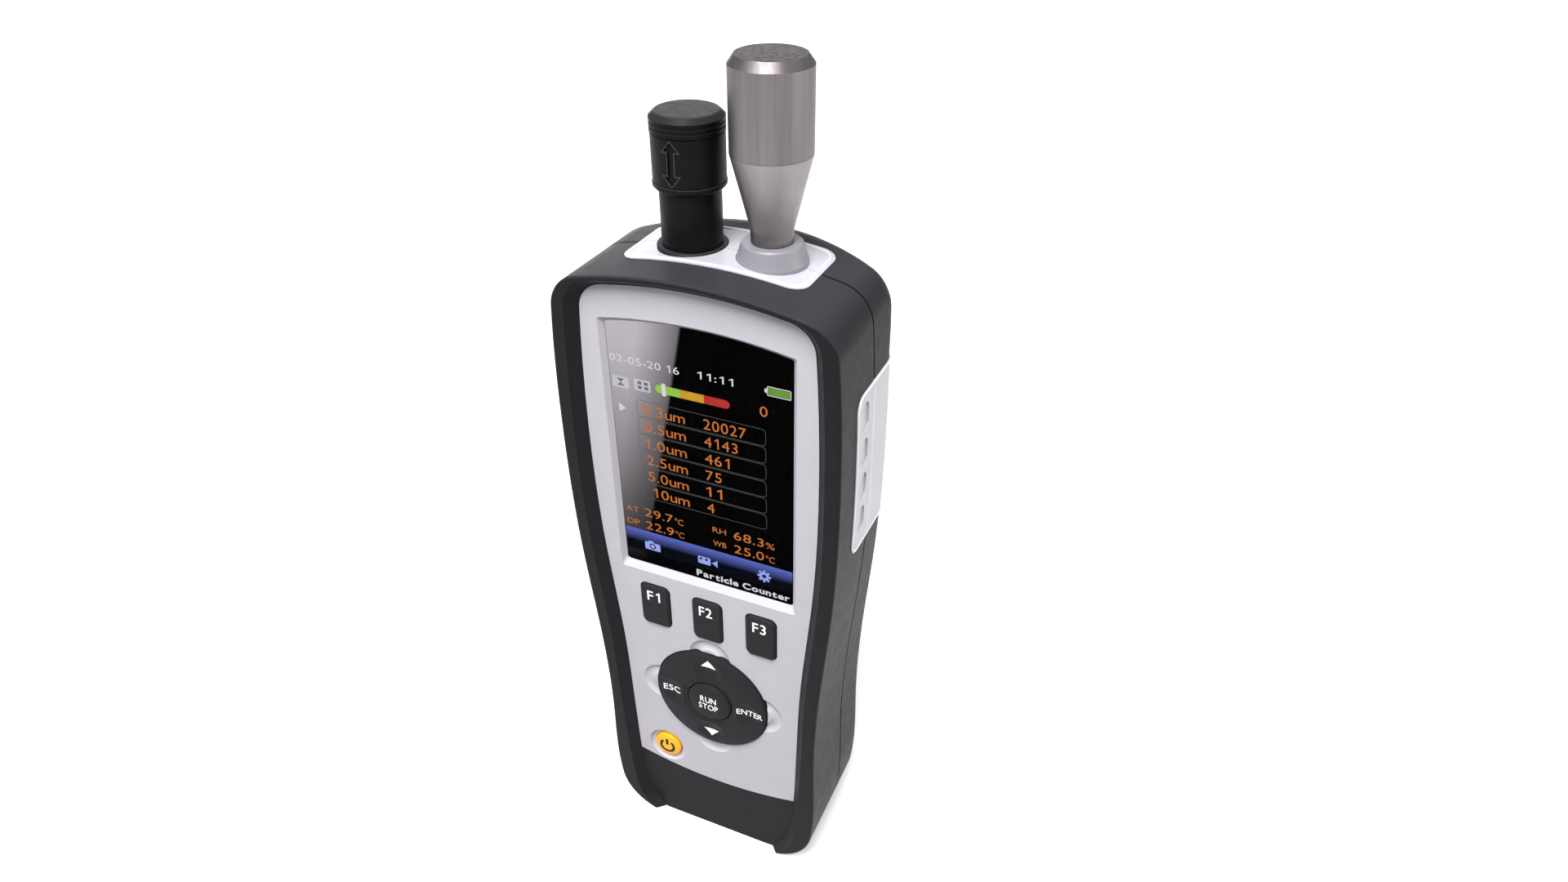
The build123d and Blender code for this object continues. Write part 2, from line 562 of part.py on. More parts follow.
def make_tripod_insert():
    y1 = BACK_Y - 0.6
    insert = round_prism(0, TRIPOD_Z, TRIPOD_OUTER_R, y1 - TRIPOD_L, y1)
    insert = chamfer(insert.faces().sort_by(Axis.Y)[-1].edges(), 0.4)
    return insert - round_prism(0, TRIPOD_Z, TRIPOD_BORE_R, y1 - TRIPOD_L, y1)


def make_camera():
    """Bezel ring, clear window, lens barrel and the small work lamp beside them."""
    y1 = BACK_Y - 0.3
    bezel = round_prism(0, CAMERA_Z, CAMERA_BEZEL_R, y1 - 3.2, y1 + 0.1)
    bezel = chamfer(bezel.faces().sort_by(Axis.Y)[-1].edges(), 0.5)
    bezel = bezel - round_prism(0, CAMERA_Z, CAMERA_R, y1 - 4, y1 + 1)
    window = round_prism(0, CAMERA_Z, CAMERA_R, y1 - 2.2, y1 - 1.0)
    barrel = round_prism(0, CAMERA_Z, 4.0, y1 - 9, y1 - 2.3)
    barrel = barrel - round_prism(0, CAMERA_Z, 2.2, y1 - 3.6, y1 - 2)
    lamp_y = crown_y(LAMP_X) - 0.2
    lamp = round_prism(LAMP_X, CAMERA_Z, LAMP_R, lamp_y - 3.6, lamp_y)
    lamp = fillet(lamp.faces().sort_by(Axis.Y)[-1].edges(), 0.6)
    return bezel, window, barrel, lamp


# ------------------------------------------------------------------ connectors on the left side
def side_x(inset, z):
    """X of the left side of the housing at height z, moved in by inset."""
    below, above = SIDE[0], SIDE[-1]
    for low, high in zip(SIDE, SIDE[1:]):
        if low[1] <= z <= high[1]:
            below, above = low, high
    share = (z - below[1]) / (above[1] - below[1])
    return -(below[0] + share * (above[0] - below[0]) - inset)


def make_port_cover():
    """Rubber cover of the connectors, with a hinge bead below and a finger tab above."""
    y0, y1 = PORT_Y0 + PORT_GAP, PORT_Y1 - PORT_GAP
    region = block(-60, -20, y0, y1, PORT_HINGE_Z, PORT_Z1 - PORT_GAP)
    cover = (housing_blank() - housing_blank(PORT_COVER_T)) & region
    bead_x = side_x(PORT_COVER_T / 2, PORT_HINGE_Z)
    bead = Pos(bead_x, (y0 + y1) / 2, PORT_HINGE_Z) * Rot(90, 0, 0) * Cylinder(PORT_COVER_T / 2, y1 - y0)
    tab = block(side_x(-0.9, PORT_Z1), side_x(PORT_COVER_T / 2, PORT_Z1), PORT_TAB_Y0, PORT_TAB_Y1,
                PORT_Z1 - 3.6, PORT_Z1 - 1.6)
    return cover + bead + tab


def socket_block(y, z, wide, tall, bore):
    """Connector on the main board, its mouth towards -X."""
    mouth = side_x(WALL + 0.9, z)
    y_board = MAT_Y + MAT_T + PCB_T
    body = block(mouth, mouth + 9, y_board, y + wide / 2, z - tall / 2, z + tall / 2)
    return body - bore


def make_sockets():
    jack_bore = Pos(-30, JACK_Y, JACK_Z) * Rot(0, 90, 0) * Cylinder(2.75, 12)
    jack = socket_block(JACK_Y, JACK_Z, 7.0, 7.0, jack_bore)
    jack = jack + Pos(side_x(WALL + 5, JACK_Z), JACK_Y, JACK_Z) * Rot(0, 90, 0) * Cylinder(0.65, 8)
    usb_bore = block(-40, -25, USB_Y - 0.9, USB_Y + 0.9, USB_Z - 3.2, USB_Z + 3.2)
    usb = socket_block(USB_Y, USB_Z, 2.7, 7.6, usb_bore)
    card_bore = block(-40, -25, CARD_Y - 0.5, CARD_Y + 0.5, CARD_Z - 5.6, CARD_Z + 5.6)
    card = socket_block(CARD_Y, CARD_Z, 1.5, 12.4, card_bore)
    return jack, usb, card


# ------------------------------------------------------------------ temperature / humidity probe
def make_stem():
    profile = [(STEM_BORE, 176), (STEM_R, 176), (STEM_R, FLANGE_Z0), (FLANGE_R, FLANGE_Z0),
               (FLANGE_R, FLANGE_Z1 - 0.3), (FLANGE_R - 0.3, FLANGE_Z1), (STEM_R, FLANGE_Z1),
               (STEM_R, STEM_TOP), (STEM_BORE, STEM_TOP)]
    return turned(TH_X, SEAM_Y, profile)


def make_cage():
    """Slotted tube round the sensor chip; the sleeve hides it when it is up."""
    profile = [(CAGE_BORE, STEM_TOP), (CAGE_R, STEM_TOP), (CAGE_R, CAP_Z0), (CAGE_BORE, CAP_Z0)]
    cage = turned(TH_X, SEAM_Y, profile)
    for step in range(CAGE_SLOTS):
        slot = block(-CAGE_SLOT_W / 2, CAGE_SLOT_W / 2, 0, 10, STEM_TOP + 2, CAP_Z0 - 1.6)
        cage = cage - Pos(TH_X, SEAM_Y, 0) * Rot(0, 0, 30 + step * 360 / CAGE_SLOTS) * slot
    return cage


def arrow_face():
    """Double-headed arrow in front view, centred on the origin."""
    corner = [(0, ARROW_TIP), (ARROW_HEAD, ARROW_NECK), (ARROW_SHAFT, ARROW_NECK)]
    corner += [(x, -z) for x, z in reversed(corner)]
    corner += [(-x, z) for x, z in reversed(corner[1:-1])]
    return make_face(Polyline(*corner, close=True))


def make_sleeve():
    """Sliding sleeve with a ring at its lower edge and a double arrow pressed into its front."""
    ring_r, body_r = SLEEVE_R, SLEEVE_R - SLEEVE_WAIST
    groove_r = body_r - GROOVE_DEPTH / 2
    profile = [(SLEEVE_BORE, SLEEVE_Z0), (ring_r - 0.8, SLEEVE_Z0), (ring_r, SLEEVE_Z0 + 0.9),
               (ring_r, RING_TOP_Z), (groove_r, RING_TOP_Z + 0.1), (groove_r, RING_TOP_Z + 0.35),
               (body_r, RING_TOP_Z + 0.45), (body_r, SLEEVE_Z1), (SLEEVE_BORE, SLEEVE_Z1)]
    arrow = prism(Pos(TH_X, ARROW_Z) * arrow_face(), SEAM_Y - SLEEVE_R - 1, SEAM_Y - SLEEVE_R + ARROW_DEPTH)
    return turned(TH_X, SEAM_Y, profile) - arrow


def make_probe_cap():
    """Fixed cap over the sensor, with two fine grooves below its chamfer."""
    r = SLEEVE_R
    profile = [(0, CAP_Z0), (r, CAP_Z0)]
    for z in CAP_GROOVE_ZS:
        profile += [(r, z - GROOVE_HALF), (r - GROOVE_DEPTH, z - GROOVE_HALF / 2)]
        profile += [(r - GROOVE_DEPTH, z + GROOVE_HALF / 2), (r, z + GROOVE_HALF)]
    flat_r = r - CAP_CHAMFER
    profile += [(r, CAP_EDGE_Z), (flat_r, CAP_Z1 - 0.15), (flat_r - 0.4, CAP_Z1), (0, CAP_Z1)]
    return turned(TH_X, SEAM_Y, profile)


def make_sensor_board():
    board = block(TH_X - 3.2, TH_X + 3.2, SEAM_Y - 0.5, SEAM_Y + 0.5, 186, 209)
    return board + block(TH_X - 1.5, TH_X + 1.5, SEAM_Y - 1.5, SEAM_Y - 0.5, 202, 206)


# ------------------------------------------------------------------ air inlet
def make_collar():
    profile = [(NECK_R, COLLAR_Z0), (COLLAR_R0, COLLAR_Z0), (COLLAR_R0, TOP_Z - 0.2),
               (COLLAR_R1 + 0.35, COLLAR_Z1 - 0.35), (COLLAR_R1, COLLAR_Z1), (NECK_R, COLLAR_Z1)]
    return turned(INLET_X, SEAM_Y, profile)


def make_funnel():
    """Metal inlet: straight neck, cone, and the spigot that the dust cap sits on."""
    seat = BELL_Z - CAP_JOINT_GAP
    profile = [(INLET_BORE, 178), (NECK_R, 178), (NECK_R, NECK_Z), (BELL_R, BELL_Z - 0.3),
               (BELL_R, seat), (SPIGOT_R, seat), (SPIGOT_R, SPIGOT_Z), (SPIGOT_BORE, SPIGOT_Z),
               (SPIGOT_BORE, BELL_Z), (INLET_BORE, 194)]
    funnel = turned(INLET_X, SEAM_Y, profile)
    rings = funnel.edges().filter_by(GeomType.CIRCLE)
    neck = [ring for ring in rings if abs(ring.center().Z - NECK_Z) < 0.01]
    return fillet(neck, NECK_BLEND_R)


def make_dust_cap():
    r = BELL_R
    profile = [(DUST_CAP_BORE, BELL_Z), (r, BELL_Z), (r, DUST_CAP_CHAMFER_Z),
               (DUST_CAP_TOP_R, DUST_CAP_Z1), (0, DUST_CAP_Z1), (0, DUST_CAP_Z1 - 2.4),
               (DUST_CAP_BORE, DUST_CAP_Z1 - 2.4)]
    return turned(INLET_X, SEAM_Y, profile)


# ------------------------------------------------------------------ air path and measuring parts
def make_air_path():
    hose = turned(INLET_X, SEAM_Y, [(2.6, 166), (3.6, 166), (3.6, 178), (2.6, 178)])
    optics = block(-2, 24, -9.5, 4.5, 136, 166)
    laser = Pos(11, -2.5, 131) * Cylinder(4.5, 10)
    detector = block(24, 27, -8, 3, 141, 161)
    pump_head = block(-27, -6, -9.5, 6.5, 140, 158)
    pump_motor = Pos(-16.5, -1.5, 128) * Cylinder(8.5, 24)
    filter_can = Pos(-14, -1, 104) * Cylinder(7.5, 22)
    buzzer = Pos(18, -4.5, 40) * Rot(90, 0, 0) * Cylinder(6, 4)
    return {"inlet_hose": hose, "optics_block": optics, "laser_module": laser,
            "photodetector_board": detector, "pump_head": pump_head, "pump_motor": pump_motor,
            "exhaust_filter": filter_can, "buzzer": buzzer}


def make_gasket():
    ring = prism(housing_outline(GASKET_INSET), SEAM_Y - SEAM_GAP / 2, SEAM_Y + SEAM_GAP / 2)
    ring = ring - prism(housing_outline(WALL), SEAM_Y - 1, SEAM_Y + 1)
    return ring - stem_hole() - inlet_hole() - panel_pocket()


def main():
    for node, panel in make_panels().items():
        write(node, panel)
    write("front_shell", make_front_shell())
    write("rear_shell", make_rear_shell())
    write("shell_gasket", make_gasket())
    write("faceplate", make_faceplate())
    window = prism(window_outline(), WINDOW_Y, WINDOW_Y + WINDOW_T)
    write("display_window", window)
    lcd_panel, lcd_tray = make_lcd()
    write("lcd_panel", lcd_panel)
    write("lcd_tray", lcd_tray)
    for number, x in enumerate(KEY_XS, start=1):
        write(f"key_f{number}", make_key(x))
    write("nav_pad", make_nav_pad())
    write("nav_web", make_nav_web())
    write("run_stop_button", make_run_button())
    write("power_button", make_power_button())
    write("keypad_mat", make_keypad_mat())
    write("key_domes", make_key_domes())
    write("main_board", make_main_board())
    write("case_screws", make_case_screws())
    door, door_screw = make_battery_door()
    write("battery_door", door)
    write("battery_door_screw", door_screw)
    tray, pack = make_battery()
    write("battery_tray", tray)
    write("battery_pack", pack)
    write("tripod_insert", make_tripod_insert())
    bezel, lens_window, barrel, lamp = make_camera()
    write("camera_bezel", bezel)
    write("camera_window", lens_window)
    write("camera_module", barrel)
    write("work_lamp", lamp)
    write("port_cover", make_port_cover())
    jack, usb, card = make_sockets()
    write("dc_jack", jack)
    write("usb_socket", usb)
    write("card_socket", card)
    write("sensor_stem", make_stem())
    write("sensor_cage", make_cage())
    write("sensor_sleeve", make_sleeve())
    write("sensor_cap", make_probe_cap())
    write("sensor_board", make_sensor_board())
    write("inlet_collar", make_collar())
    write("inlet_funnel", make_funnel())
    write("inlet_dust_cap", make_dust_cap())
    for node, shape in make_air_path().items():
        write(node, shape)


main()
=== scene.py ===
import json
import math

import bmesh
import bpy
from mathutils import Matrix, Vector
from mathutils.bvhtree import BVHTree


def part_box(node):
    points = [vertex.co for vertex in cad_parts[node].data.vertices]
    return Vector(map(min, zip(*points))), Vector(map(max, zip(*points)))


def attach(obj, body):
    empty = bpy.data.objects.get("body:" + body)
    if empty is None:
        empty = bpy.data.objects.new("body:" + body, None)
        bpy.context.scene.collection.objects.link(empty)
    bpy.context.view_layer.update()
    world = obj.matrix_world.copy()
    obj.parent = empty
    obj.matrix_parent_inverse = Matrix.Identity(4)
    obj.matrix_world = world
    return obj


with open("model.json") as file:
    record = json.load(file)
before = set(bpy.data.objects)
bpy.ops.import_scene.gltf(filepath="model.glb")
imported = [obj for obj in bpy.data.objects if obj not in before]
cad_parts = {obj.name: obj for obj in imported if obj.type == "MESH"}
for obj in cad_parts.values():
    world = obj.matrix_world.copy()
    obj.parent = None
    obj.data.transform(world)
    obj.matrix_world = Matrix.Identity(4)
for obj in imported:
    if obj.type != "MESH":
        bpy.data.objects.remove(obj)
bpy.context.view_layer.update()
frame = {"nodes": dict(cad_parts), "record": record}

# Looks of the handheld particle counter: materials for every CAD node, the lit screen laminated
# into its window, the legends printed on the real surfaces of the keys, the edge round the
# sleeve's arrow, and the fine beads round the light inlays.
# Lengths are in millimetres and are turned into metres by MM; only the lights' places and sizes
# and the starts of rays are written in metres.

MM = 0.001


# ------------------------------------------------------------------ small helpers
def linear(r, g, b):
    """Linear colour from display values of 0 to 255."""
    def one(value):
        value = value / 255
        return value / 12.92 if value <= 0.04045 else ((value + 0.055) / 1.055) ** 2.4
    return (one(r), one(g), one(b), 1.0)


def scaled(colour, factor):
    """The colour made lighter or darker, and opaque."""
    return tuple(min(1.0, c * factor) for c in colour[:3]) + (1.0,)


def box_mm(node):
    """Low and high corners of a CAD node's box, in millimetres."""
    low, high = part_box(node)
    return [c / MM for c in low], [c / MM for c in high]


def middle_mm(node):
    """Middle of a CAD node seen from the front: its x and z, in millimetres."""
    low, high = box_mm(node)
    return (low[0] + high[0]) / 2, (low[2] + high[2]) / 2


def tree_of(*nodes):
    """Ray-casting trees of CAD nodes, to lay printing and beads on their real surfaces."""
    graph = bpy.context.evaluated_depsgraph_get()
    return [BVHTree.FromObject(frame["nodes"][name], graph) for name in nodes]


def cast(trees, start, direction):
    """Nearest hit of a ray on any of the trees, in metres, or None."""
    best = None
    for tree in trees:
        hit, normal, _, distance = tree.ray_cast(Vector(start), Vector(direction))
        if hit is not None and (best is None or distance < best[2]):
            best = (hit, normal, distance)
    return best


# ------------------------------------------------------------------ procedural materials
class Shader:
    """One node material built round a Principled shader, textured in object coordinates."""

    def __init__(self, name, colour, roughness, metallic=0.0):
        self.material = bpy.data.materials.new(name)
        self.material.use_nodes = True
        self.nodes = self.material.node_tree.nodes
        self.links = self.material.node_tree.links
        self.shader = self.nodes["Principled BSDF"]
        self.colour = colour
        self.tint = colour
        self.roughness = roughness
        self.shader.inputs["Base Color"].default_value = colour
        self.shader.inputs["Roughness"].default_value = roughness
        self.shader.inputs["Metallic"].default_value = metallic
        self.place = self.nodes.new("ShaderNodeTexCoord").outputs["Object"]
        self.height = None

    def put(self, **values):
        """Constants set on the shader's own sockets, with _ for a space in their names."""
        for name, value in values.items():
            self.shader.inputs[name.replace("_", " ")].default_value = value
        return self

    def stretched(self, scale):
        """Object coordinates scaled along each axis."""
        mapping = self.nodes.new("ShaderNodeMapping")
        mapping.inputs["Scale"].default_value = scale
        self.links.new(self.place, mapping.inputs["Vector"])
        return mapping.outputs["Vector"]

    def noise(self, per_mm, detail=3.0, stretch=(1, 1, 1)):
        """Noise with features of about 1 / per_mm millimetres."""
        node = self.nodes.new("ShaderNodeTexNoise")
        node.inputs["Scale"].default_value = per_mm / MM
        node.inputs["Detail"].default_value = detail
        self.links.new(self.stretched(stretch), node.inputs["Vector"])
        return node.outputs["Fac"]

    def axis(self, vector, name):
        """One axis, X, Y or Z, of a vector."""
        split = self.nodes.new("ShaderNodeSeparateXYZ")
        self.links.new(vector, split.inputs["Vector"])
        return split.outputs[name]

    def math(self, operation, *values):
        """Result of a maths node on numbers or links."""
        node = self.nodes.new("ShaderNodeMath")
        node.operation = operation
        for socket, value in zip(node.inputs, values):
            if isinstance(value, float):
                socket.default_value = value
            else:
                self.links.new(value, socket)
        return node.outputs["Value"]

    def ramp(self, source, low, high, low_at=0.3, high_at=0.7):
        """Value that goes from low to high while the source goes from low_at to high_at."""
        node = self.nodes.new("ShaderNodeMapRange")
        node.inputs["From Min"].default_value = low_at
        node.inputs["From Max"].default_value = high_at
        node.inputs["To Min"].default_value = low
        node.inputs["To Max"].default_value = high
        self.links.new(source, node.inputs["Value"])
        return node.outputs["Result"]

    def blend(self, factor, first, second):
        """Colour between two constants or links."""
        node = self.nodes.new("ShaderNodeMix")
        node.data_type = "RGBA"
        self.links.new(factor, node.inputs["Factor"])
        for name, value in (("A", first), ("B", second)):
            socket = [s for s in node.inputs if s.name == name and s.type == "RGBA"][0]
            if isinstance(value, tuple):
                socket.default_value = value
            else:
                self.links.new(value, socket)
        return [s for s in node.outputs if s.type == "RGBA"][0]

    def mottle(self, per_mm, amount, stretch=(1, 1, 1)):
        """Slow variation of the colour."""
        factor = self.ramp(self.noise(per_mm, 4, stretch), 0, 1)
        colour = self.blend(factor, scaled(self.colour, 1 - amount), scaled(self.colour, 1 + amount))
        self.links.new(colour, self.shader.inputs["Base Color"])
        self.tint = colour
        return self

    def facing(self, low, high, low_at, high_at):
        """Value that changes between two limits of the surface's upward lean."""
        normal = self.nodes.new("ShaderNodeNewGeometry").outputs["True Normal"]
        return self.ramp(self.axis(normal, "Z"), low, high, low_at, high_at)

    def paint_light_above(self, colour, low_at=0.3, high_at=0.95):
        """Paler where the surface faces up: painted light on upward faces."""
        mixed = self.blend(self.facing(0, 1, low_at, high_at), self.tint, colour)
        self.links.new(mixed, self.shader.inputs["Base Color"])
        return self

    def sheen_change(self, per_mm, amount, stretch=(1, 1, 1)):
        """Variation of the roughness."""
        noise = self.noise(per_mm, 3, stretch)
        value = self.ramp(noise, self.roughness - amount, self.roughness + amount)
        self.links.new(value, self.shader.inputs["Roughness"])
        return self

    def grain(self, per_mm, depth_mm, strength=1.0, stretch=(1, 1, 1)):
        """Bump of the moulded or brushed surface."""
        bump = self.nodes.new("ShaderNodeBump")
        bump.inputs["Strength"].default_value = strength
        bump.inputs["Distance"].default_value = depth_mm * MM
        self.links.new(self.noise(per_mm, 2, stretch), bump.inputs["Height"])
        if self.height is not None:
            self.links.new(self.height, bump.inputs["Normal"])
        self.height = bump.outputs["Normal"]
        self.links.new(self.height, self.shader.inputs["Normal"])
        return self


def plastic(name, colour, roughness, grain_mm=0.006, per_mm=4.0, mottle=0.05):
    """Moulded plastic or rubber with a slight grain."""
    shader = Shader(name, colour, roughness)
    return shader.mottle(0.08, mottle).sheen_change(0.5, 0.05).grain(per_mm, grain_mm, 0.6)


def make_probe_metal():
    """Brushed metal: lengthwise streaks and a bright chamfer; downward-leaning faces are painted paler as
    painted light, and the end face is painted darker and mottled as a painted reflection of dark surroundings.
    """
    shader = Shader("probe_metal", linear(132, 126, 127), 0.46, metallic=1.0)
    streak = shader.ramp(shader.noise(0.35, 5, (1, 1, 0.035)), 0, 1, 0.32, 0.68)
    fine = shader.ramp(shader.noise(2.6, 3, (1, 1, 0.02)), 0, 1, 0.3, 0.7)
    body = shader.blend(streak, linear(108, 103, 105), linear(125, 119, 121))
    body = shader.blend(shader.ramp(fine, 0.0, 0.25, 0, 1), body, linear(100, 95, 96))
    # Painted reflection: the flat end face is painted darker and blotchy.
    blotch = shader.ramp(shader.noise(0.9, 6), 0, 1, 0.36, 0.64)
    end = shader.blend(blotch, linear(70, 67, 69), linear(112, 108, 110))
    # Painted light: faces that lean downwards, such as the funnel's cone, are painted paler.
    body = shader.blend(shader.facing(1, 0, -0.3, -0.05), body, linear(143, 137, 138))
    colour = shader.blend(shader.facing(0, 1, 0.93, 0.96), body, end)
    shader.links.new(colour, shader.shader.inputs["Base Color"])
    shader.sheen_change(1.2, 0.05, (1, 1, 0.03))
    shader.grain(3.0, 0.002, 0.4, (1, 1, 0.02))
    return shader.material


def make_glass(name, tint, ior):
    """Clear cover with faint smears in its polish."""
    shader = Shader(name, tint, 0.02)
    shader.put(Transmission_Weight=1.0, IOR=ior)
    value = shader.ramp(shader.noise(0.12, 4), 0.0, 0.05)
    shader.links.new(value, shader.shader.inputs["Roughness"])
    return shader.material


def make_glow(name, colour, strength):
    """Lit screen element, faintly uneven as a backlight is."""
    shader = Shader(name, (0.004, 0.004, 0.004, 1), 0.5)
    even = shader.ramp(shader.noise(0.25, 2), 0, 1)
    light = shader.blend(even, scaled(colour, 0.88), colour)
    shader.links.new(light, shader.shader.inputs["Emission Color"])
    shader.put(Emission_Strength=strength, Specular_IOR_Level=0.05)
    return shader.material


def make_case_plastic():
    """Charcoal plastic of the two shells, matt and finely grained, with painted light that makes its upward
    faces paler.
    """
    shader = Shader("case_plastic", linear(32, 31, 34), 0.46)
    # Painted light: upward faces are painted paler.
    shader.mottle(0.05, 0.03).paint_light_above(linear(52, 51, 55)).sheen_change(0.3, 0.03)
    shader.put(Specular_IOR_Level=0.06)
    return shader.grain(5.0, 0.02, 0.55).material


def make_faceplate_plastic():
    """Light grey plastic of the front plate."""
    shader = Shader("faceplate_plastic", linear(197, 194, 202), 0.55)
    shader.mottle(0.09, 0.02).sheen_change(0.4, 0.04)
    return shader.grain(3.2, 0.012, 0.45).material


MATERIALS = {
    "boot_charcoal": make_case_plastic(),
    "faceplate_grey": make_faceplate_plastic(),
    "panel_grey": plastic("inlay_grey", linear(212, 208, 215), 0.4, 0.004, 3.0, 0.02).material,
    "panel_white": plastic("inlay_white", linear(190, 188, 197), 0.22, 0.002, 2.0, 0.015)
    .put(Coat_Weight=0.5, Coat_Roughness=0.08).material,
    "collar_grey": plastic("collar_grey", linear(132, 131, 137), 0.42, 0.006, 4.0, 0.03).material,
    "key_rubber": plastic("key_rubber", linear(40, 39, 42), 0.5, 0.008, 5.0, 0.05)
    .put(Specular_IOR_Level=0.06).material,
    "power_orange": plastic("power_orange", linear(255, 182, 14), 0.4, 0.004, 3.0, 0.04).material,
    # Painted light: the sensor's upward faces are painted paler.
    "sensor_black": plastic("sensor_black", linear(16, 16, 16), 0.4, 0.006, 4.0, 0.06)
    .paint_light_above(linear(48, 47, 50), 0.4, 0.9).put(Specular_IOR_Level=0.07).material,
    "probe_steel": make_probe_metal(),
    "display_glass": make_glass("display_glass", (0.98, 0.98, 0.99, 1), 1.03),
    "screen_black": plastic("screen_black", linear(7, 7, 8), 0.3, 0.001, 2.0, 0.2)
    .put(Specular_IOR_Level=0.1).material,
    "glow_orange": make_glow("glow_orange", linear(196, 112, 46), 1.0),
    "glow_white": make_glow("glow_white", linear(218, 218, 222), 1.0),
    "glow_green": make_glow("glow_green", linear(148, 200, 72), 1.0),
    "glow_yellow": make_glow("glow_yellow", linear(206, 154, 34), 1.0),
    "glow_red": make_glow("glow_red", linear(182, 40, 32), 1.0),
    "glow_blue": make_glow("glow_blue", linear(150, 166, 240), 1.0),
    "glow_line": make_glow("glow_line", linear(84, 88, 86), 1.0),
    # Painted light: the white print glows faintly so that it stays bright on the front faces.
    "print_white": plastic("print_white", linear(244, 244, 246), 0.5, 0.002, 6.0, 0.02)
    .put(Emission_Color=linear(236, 236, 240), Emission_Strength=0.35).material,
    "print_black": plastic("print_black", linear(9, 7, 4), 0.5, 0.002, 6.0, 0.05)
    .put(Specular_IOR_Level=0.1).material,
    "gasket_black": plastic("gasket_black", linear(20, 20, 21), 0.6, 0.004, 3.0, 0.1).material,
    "port_rubber": plastic("port_rubber", linear(28, 28, 30), 0.62, 0.01, 4.0, 0.06)
    .put(Specular_IOR_Level=0.06).material,
    "circuit_green": plastic("circuit_green", linear(30, 92, 58), 0.4, 0.01, 2.0, 0.12).material,
    "inner_metal": Shader("inner_metal", linear(190, 191, 194), 0.35, 1.0)
    .mottle(0.1, 0.06).sheen_change(0.8, 0.08).grain(1.5, 0.006, 0.5).material,
    "inner_black": plastic("inner_black", linear(36, 36, 38), 0.5).material,
    "battery_wrap": plastic("battery_wrap", linear(40, 82, 150), 0.3, 0.004, 0.8, 0.05).material,
    "hose_silicone": plastic("hose_silicone", linear(214, 212, 205), 0.4, 0.004, 2.0, 0.03).material,
    "screw_steel": Shader("screw_steel", linear(176, 176, 180), 0.3, 1.0)
    .mottle(0.6, 0.1).sheen_change(2.0, 0.08).grain(4.0, 0.004, 0.5).material,
    "brass": Shader("brass", linear(204, 166, 92), 0.28, 1.0)
    .mottle(0.5, 0.08).sheen_change(2.0, 0.08).grain(3.0, 0.004, 0.5).material,
    "lens_glass": make_glass("lens_glass", (0.35, 0.36, 0.42, 1), 1.5),
    "lamp_clear": make_glass("lamp_clear", (0.95, 0.94, 0.88, 1), 1.45),
    "contact_steel": Shader("contact_steel", linear(205, 205, 208), 0.25, 1.0)
    .mottle(0.5, 0.05).sheen_change(1.5, 0.06).grain(2.0, 0.003, 0.4).material,
}


def dress_frame():
    """Every CAD node gets the material of the slot that the record gives it."""
    for entry in frame["record"]["subparts"]:
        target = frame["nodes"][entry["node"]]
        for place in target.material_slots:
            place.material = MATERIALS[entry["material_slot"]]


# ------------------------------------------------------------------ artwork in front view
class Artwork:
    """Flat shapes and lettering in (x, z), in millimetres, gathered into one thin closed mesh."""

    def __init__(self):
        self.points = []
        self.faces = []

    def polygon(self, points):
        """Filled shape."""
        first = len(self.points)
        self.points += points
        self.faces.append(list(range(first, first + len(points))))
        return self

    def band(self, outer, inner, closed=True):
        """Strip between two lines of points with the same count."""
        count = len(outer)
        first = len(self.points)
        self.points += outer + inner
        for k in range(count if closed else count - 1):
            after = (k + 1) % count
            self.faces.append([first + k, first + after, first + count + after, first + count + k])
        return self

    def frame(self, x0, x1, z0, z1, radius, width):
        """Outline of a rounded rectangle."""
        outer = rounded(x0, x1, z0, z1, radius)
        inner = rounded(x0 + width, x1 - width, z0 + width, z1 - width, max(radius - width, 0.05))
        return self.band(outer, inner)

    def text(self, words, x0, x1, base, cap, weight=0.0):
        """Lettering of that cap height standing on base, fitted between x0 and x1."""
        placed, left = [], 0.0
        for letter in words:
            if letter == " ":
                left += SPACE_CELL
                continue
            points, faces = glyph(letter, weight)
            low, high = min(x for x, _ in points), max(x for x, _ in points)
            cell = DIGIT_CELL if letter.isdigit() else high - low + LETTER_GAP
            placed.append([(left + cell / 2 + x - (low + high) / 2, y) for x, y in points] + [faces])
            left += cell
        ends = [x for glyph_row in placed for x, _ in glyph_row[:-1]]
        wide = (x1 - x0) / (max(ends) - min(ends))
        for *points, faces in placed:
            first = len(self.points)
            self.points += [(x0 + (x - min(ends)) * wide, base + y * cap) for x, y in points]
            self.faces += [[first + i for i in face] for face in faces]
        return self

    def mesh(self, name, y_of, thickness, fine=None):
        """Closed mesh; y_of gives the depth of the artwork's back at a point, in millimetres."""
        shape = bmesh.new()
        corners = [shape.verts.new((x, 0, z)) for x, z in self.points]
        for face in self.faces:
            shape.faces.new([corners[i] for i in face])
        bmesh.ops.remove_doubles(shape, verts=shape.verts, dist=1e-4)
        if fine:
            bmesh.ops.triangulate(shape, faces=shape.faces)
            for _ in range(3):
                long_edges = [e for e in shape.edges if e.calc_length() > fine]
                bmesh.ops.subdivide_edges(shape, edges=long_edges, cuts=1)
                bmesh.ops.triangulate(shape, faces=shape.faces)
        back = list(shape.faces)
        grown = bmesh.ops.extrude_face_region(shape, geom=back, use_keep_orig=True)
        front = {g for g in grown["geom"] if isinstance(g, bmesh.types.BMVert)}
        for corner in shape.verts:
            y = y_of(corner.co.x, corner.co.z)
            corner.co.y = y - (thickness if corner in front else 0)
        bmesh.ops.scale(shape, vec=(MM, MM, MM), verts=shape.verts)
        bmesh.ops.recalc_face_normals(shape, faces=shape.faces)
        data = bpy.data.meshes.new(name)
        shape.to_mesh(data)
        shape.free()
        return data


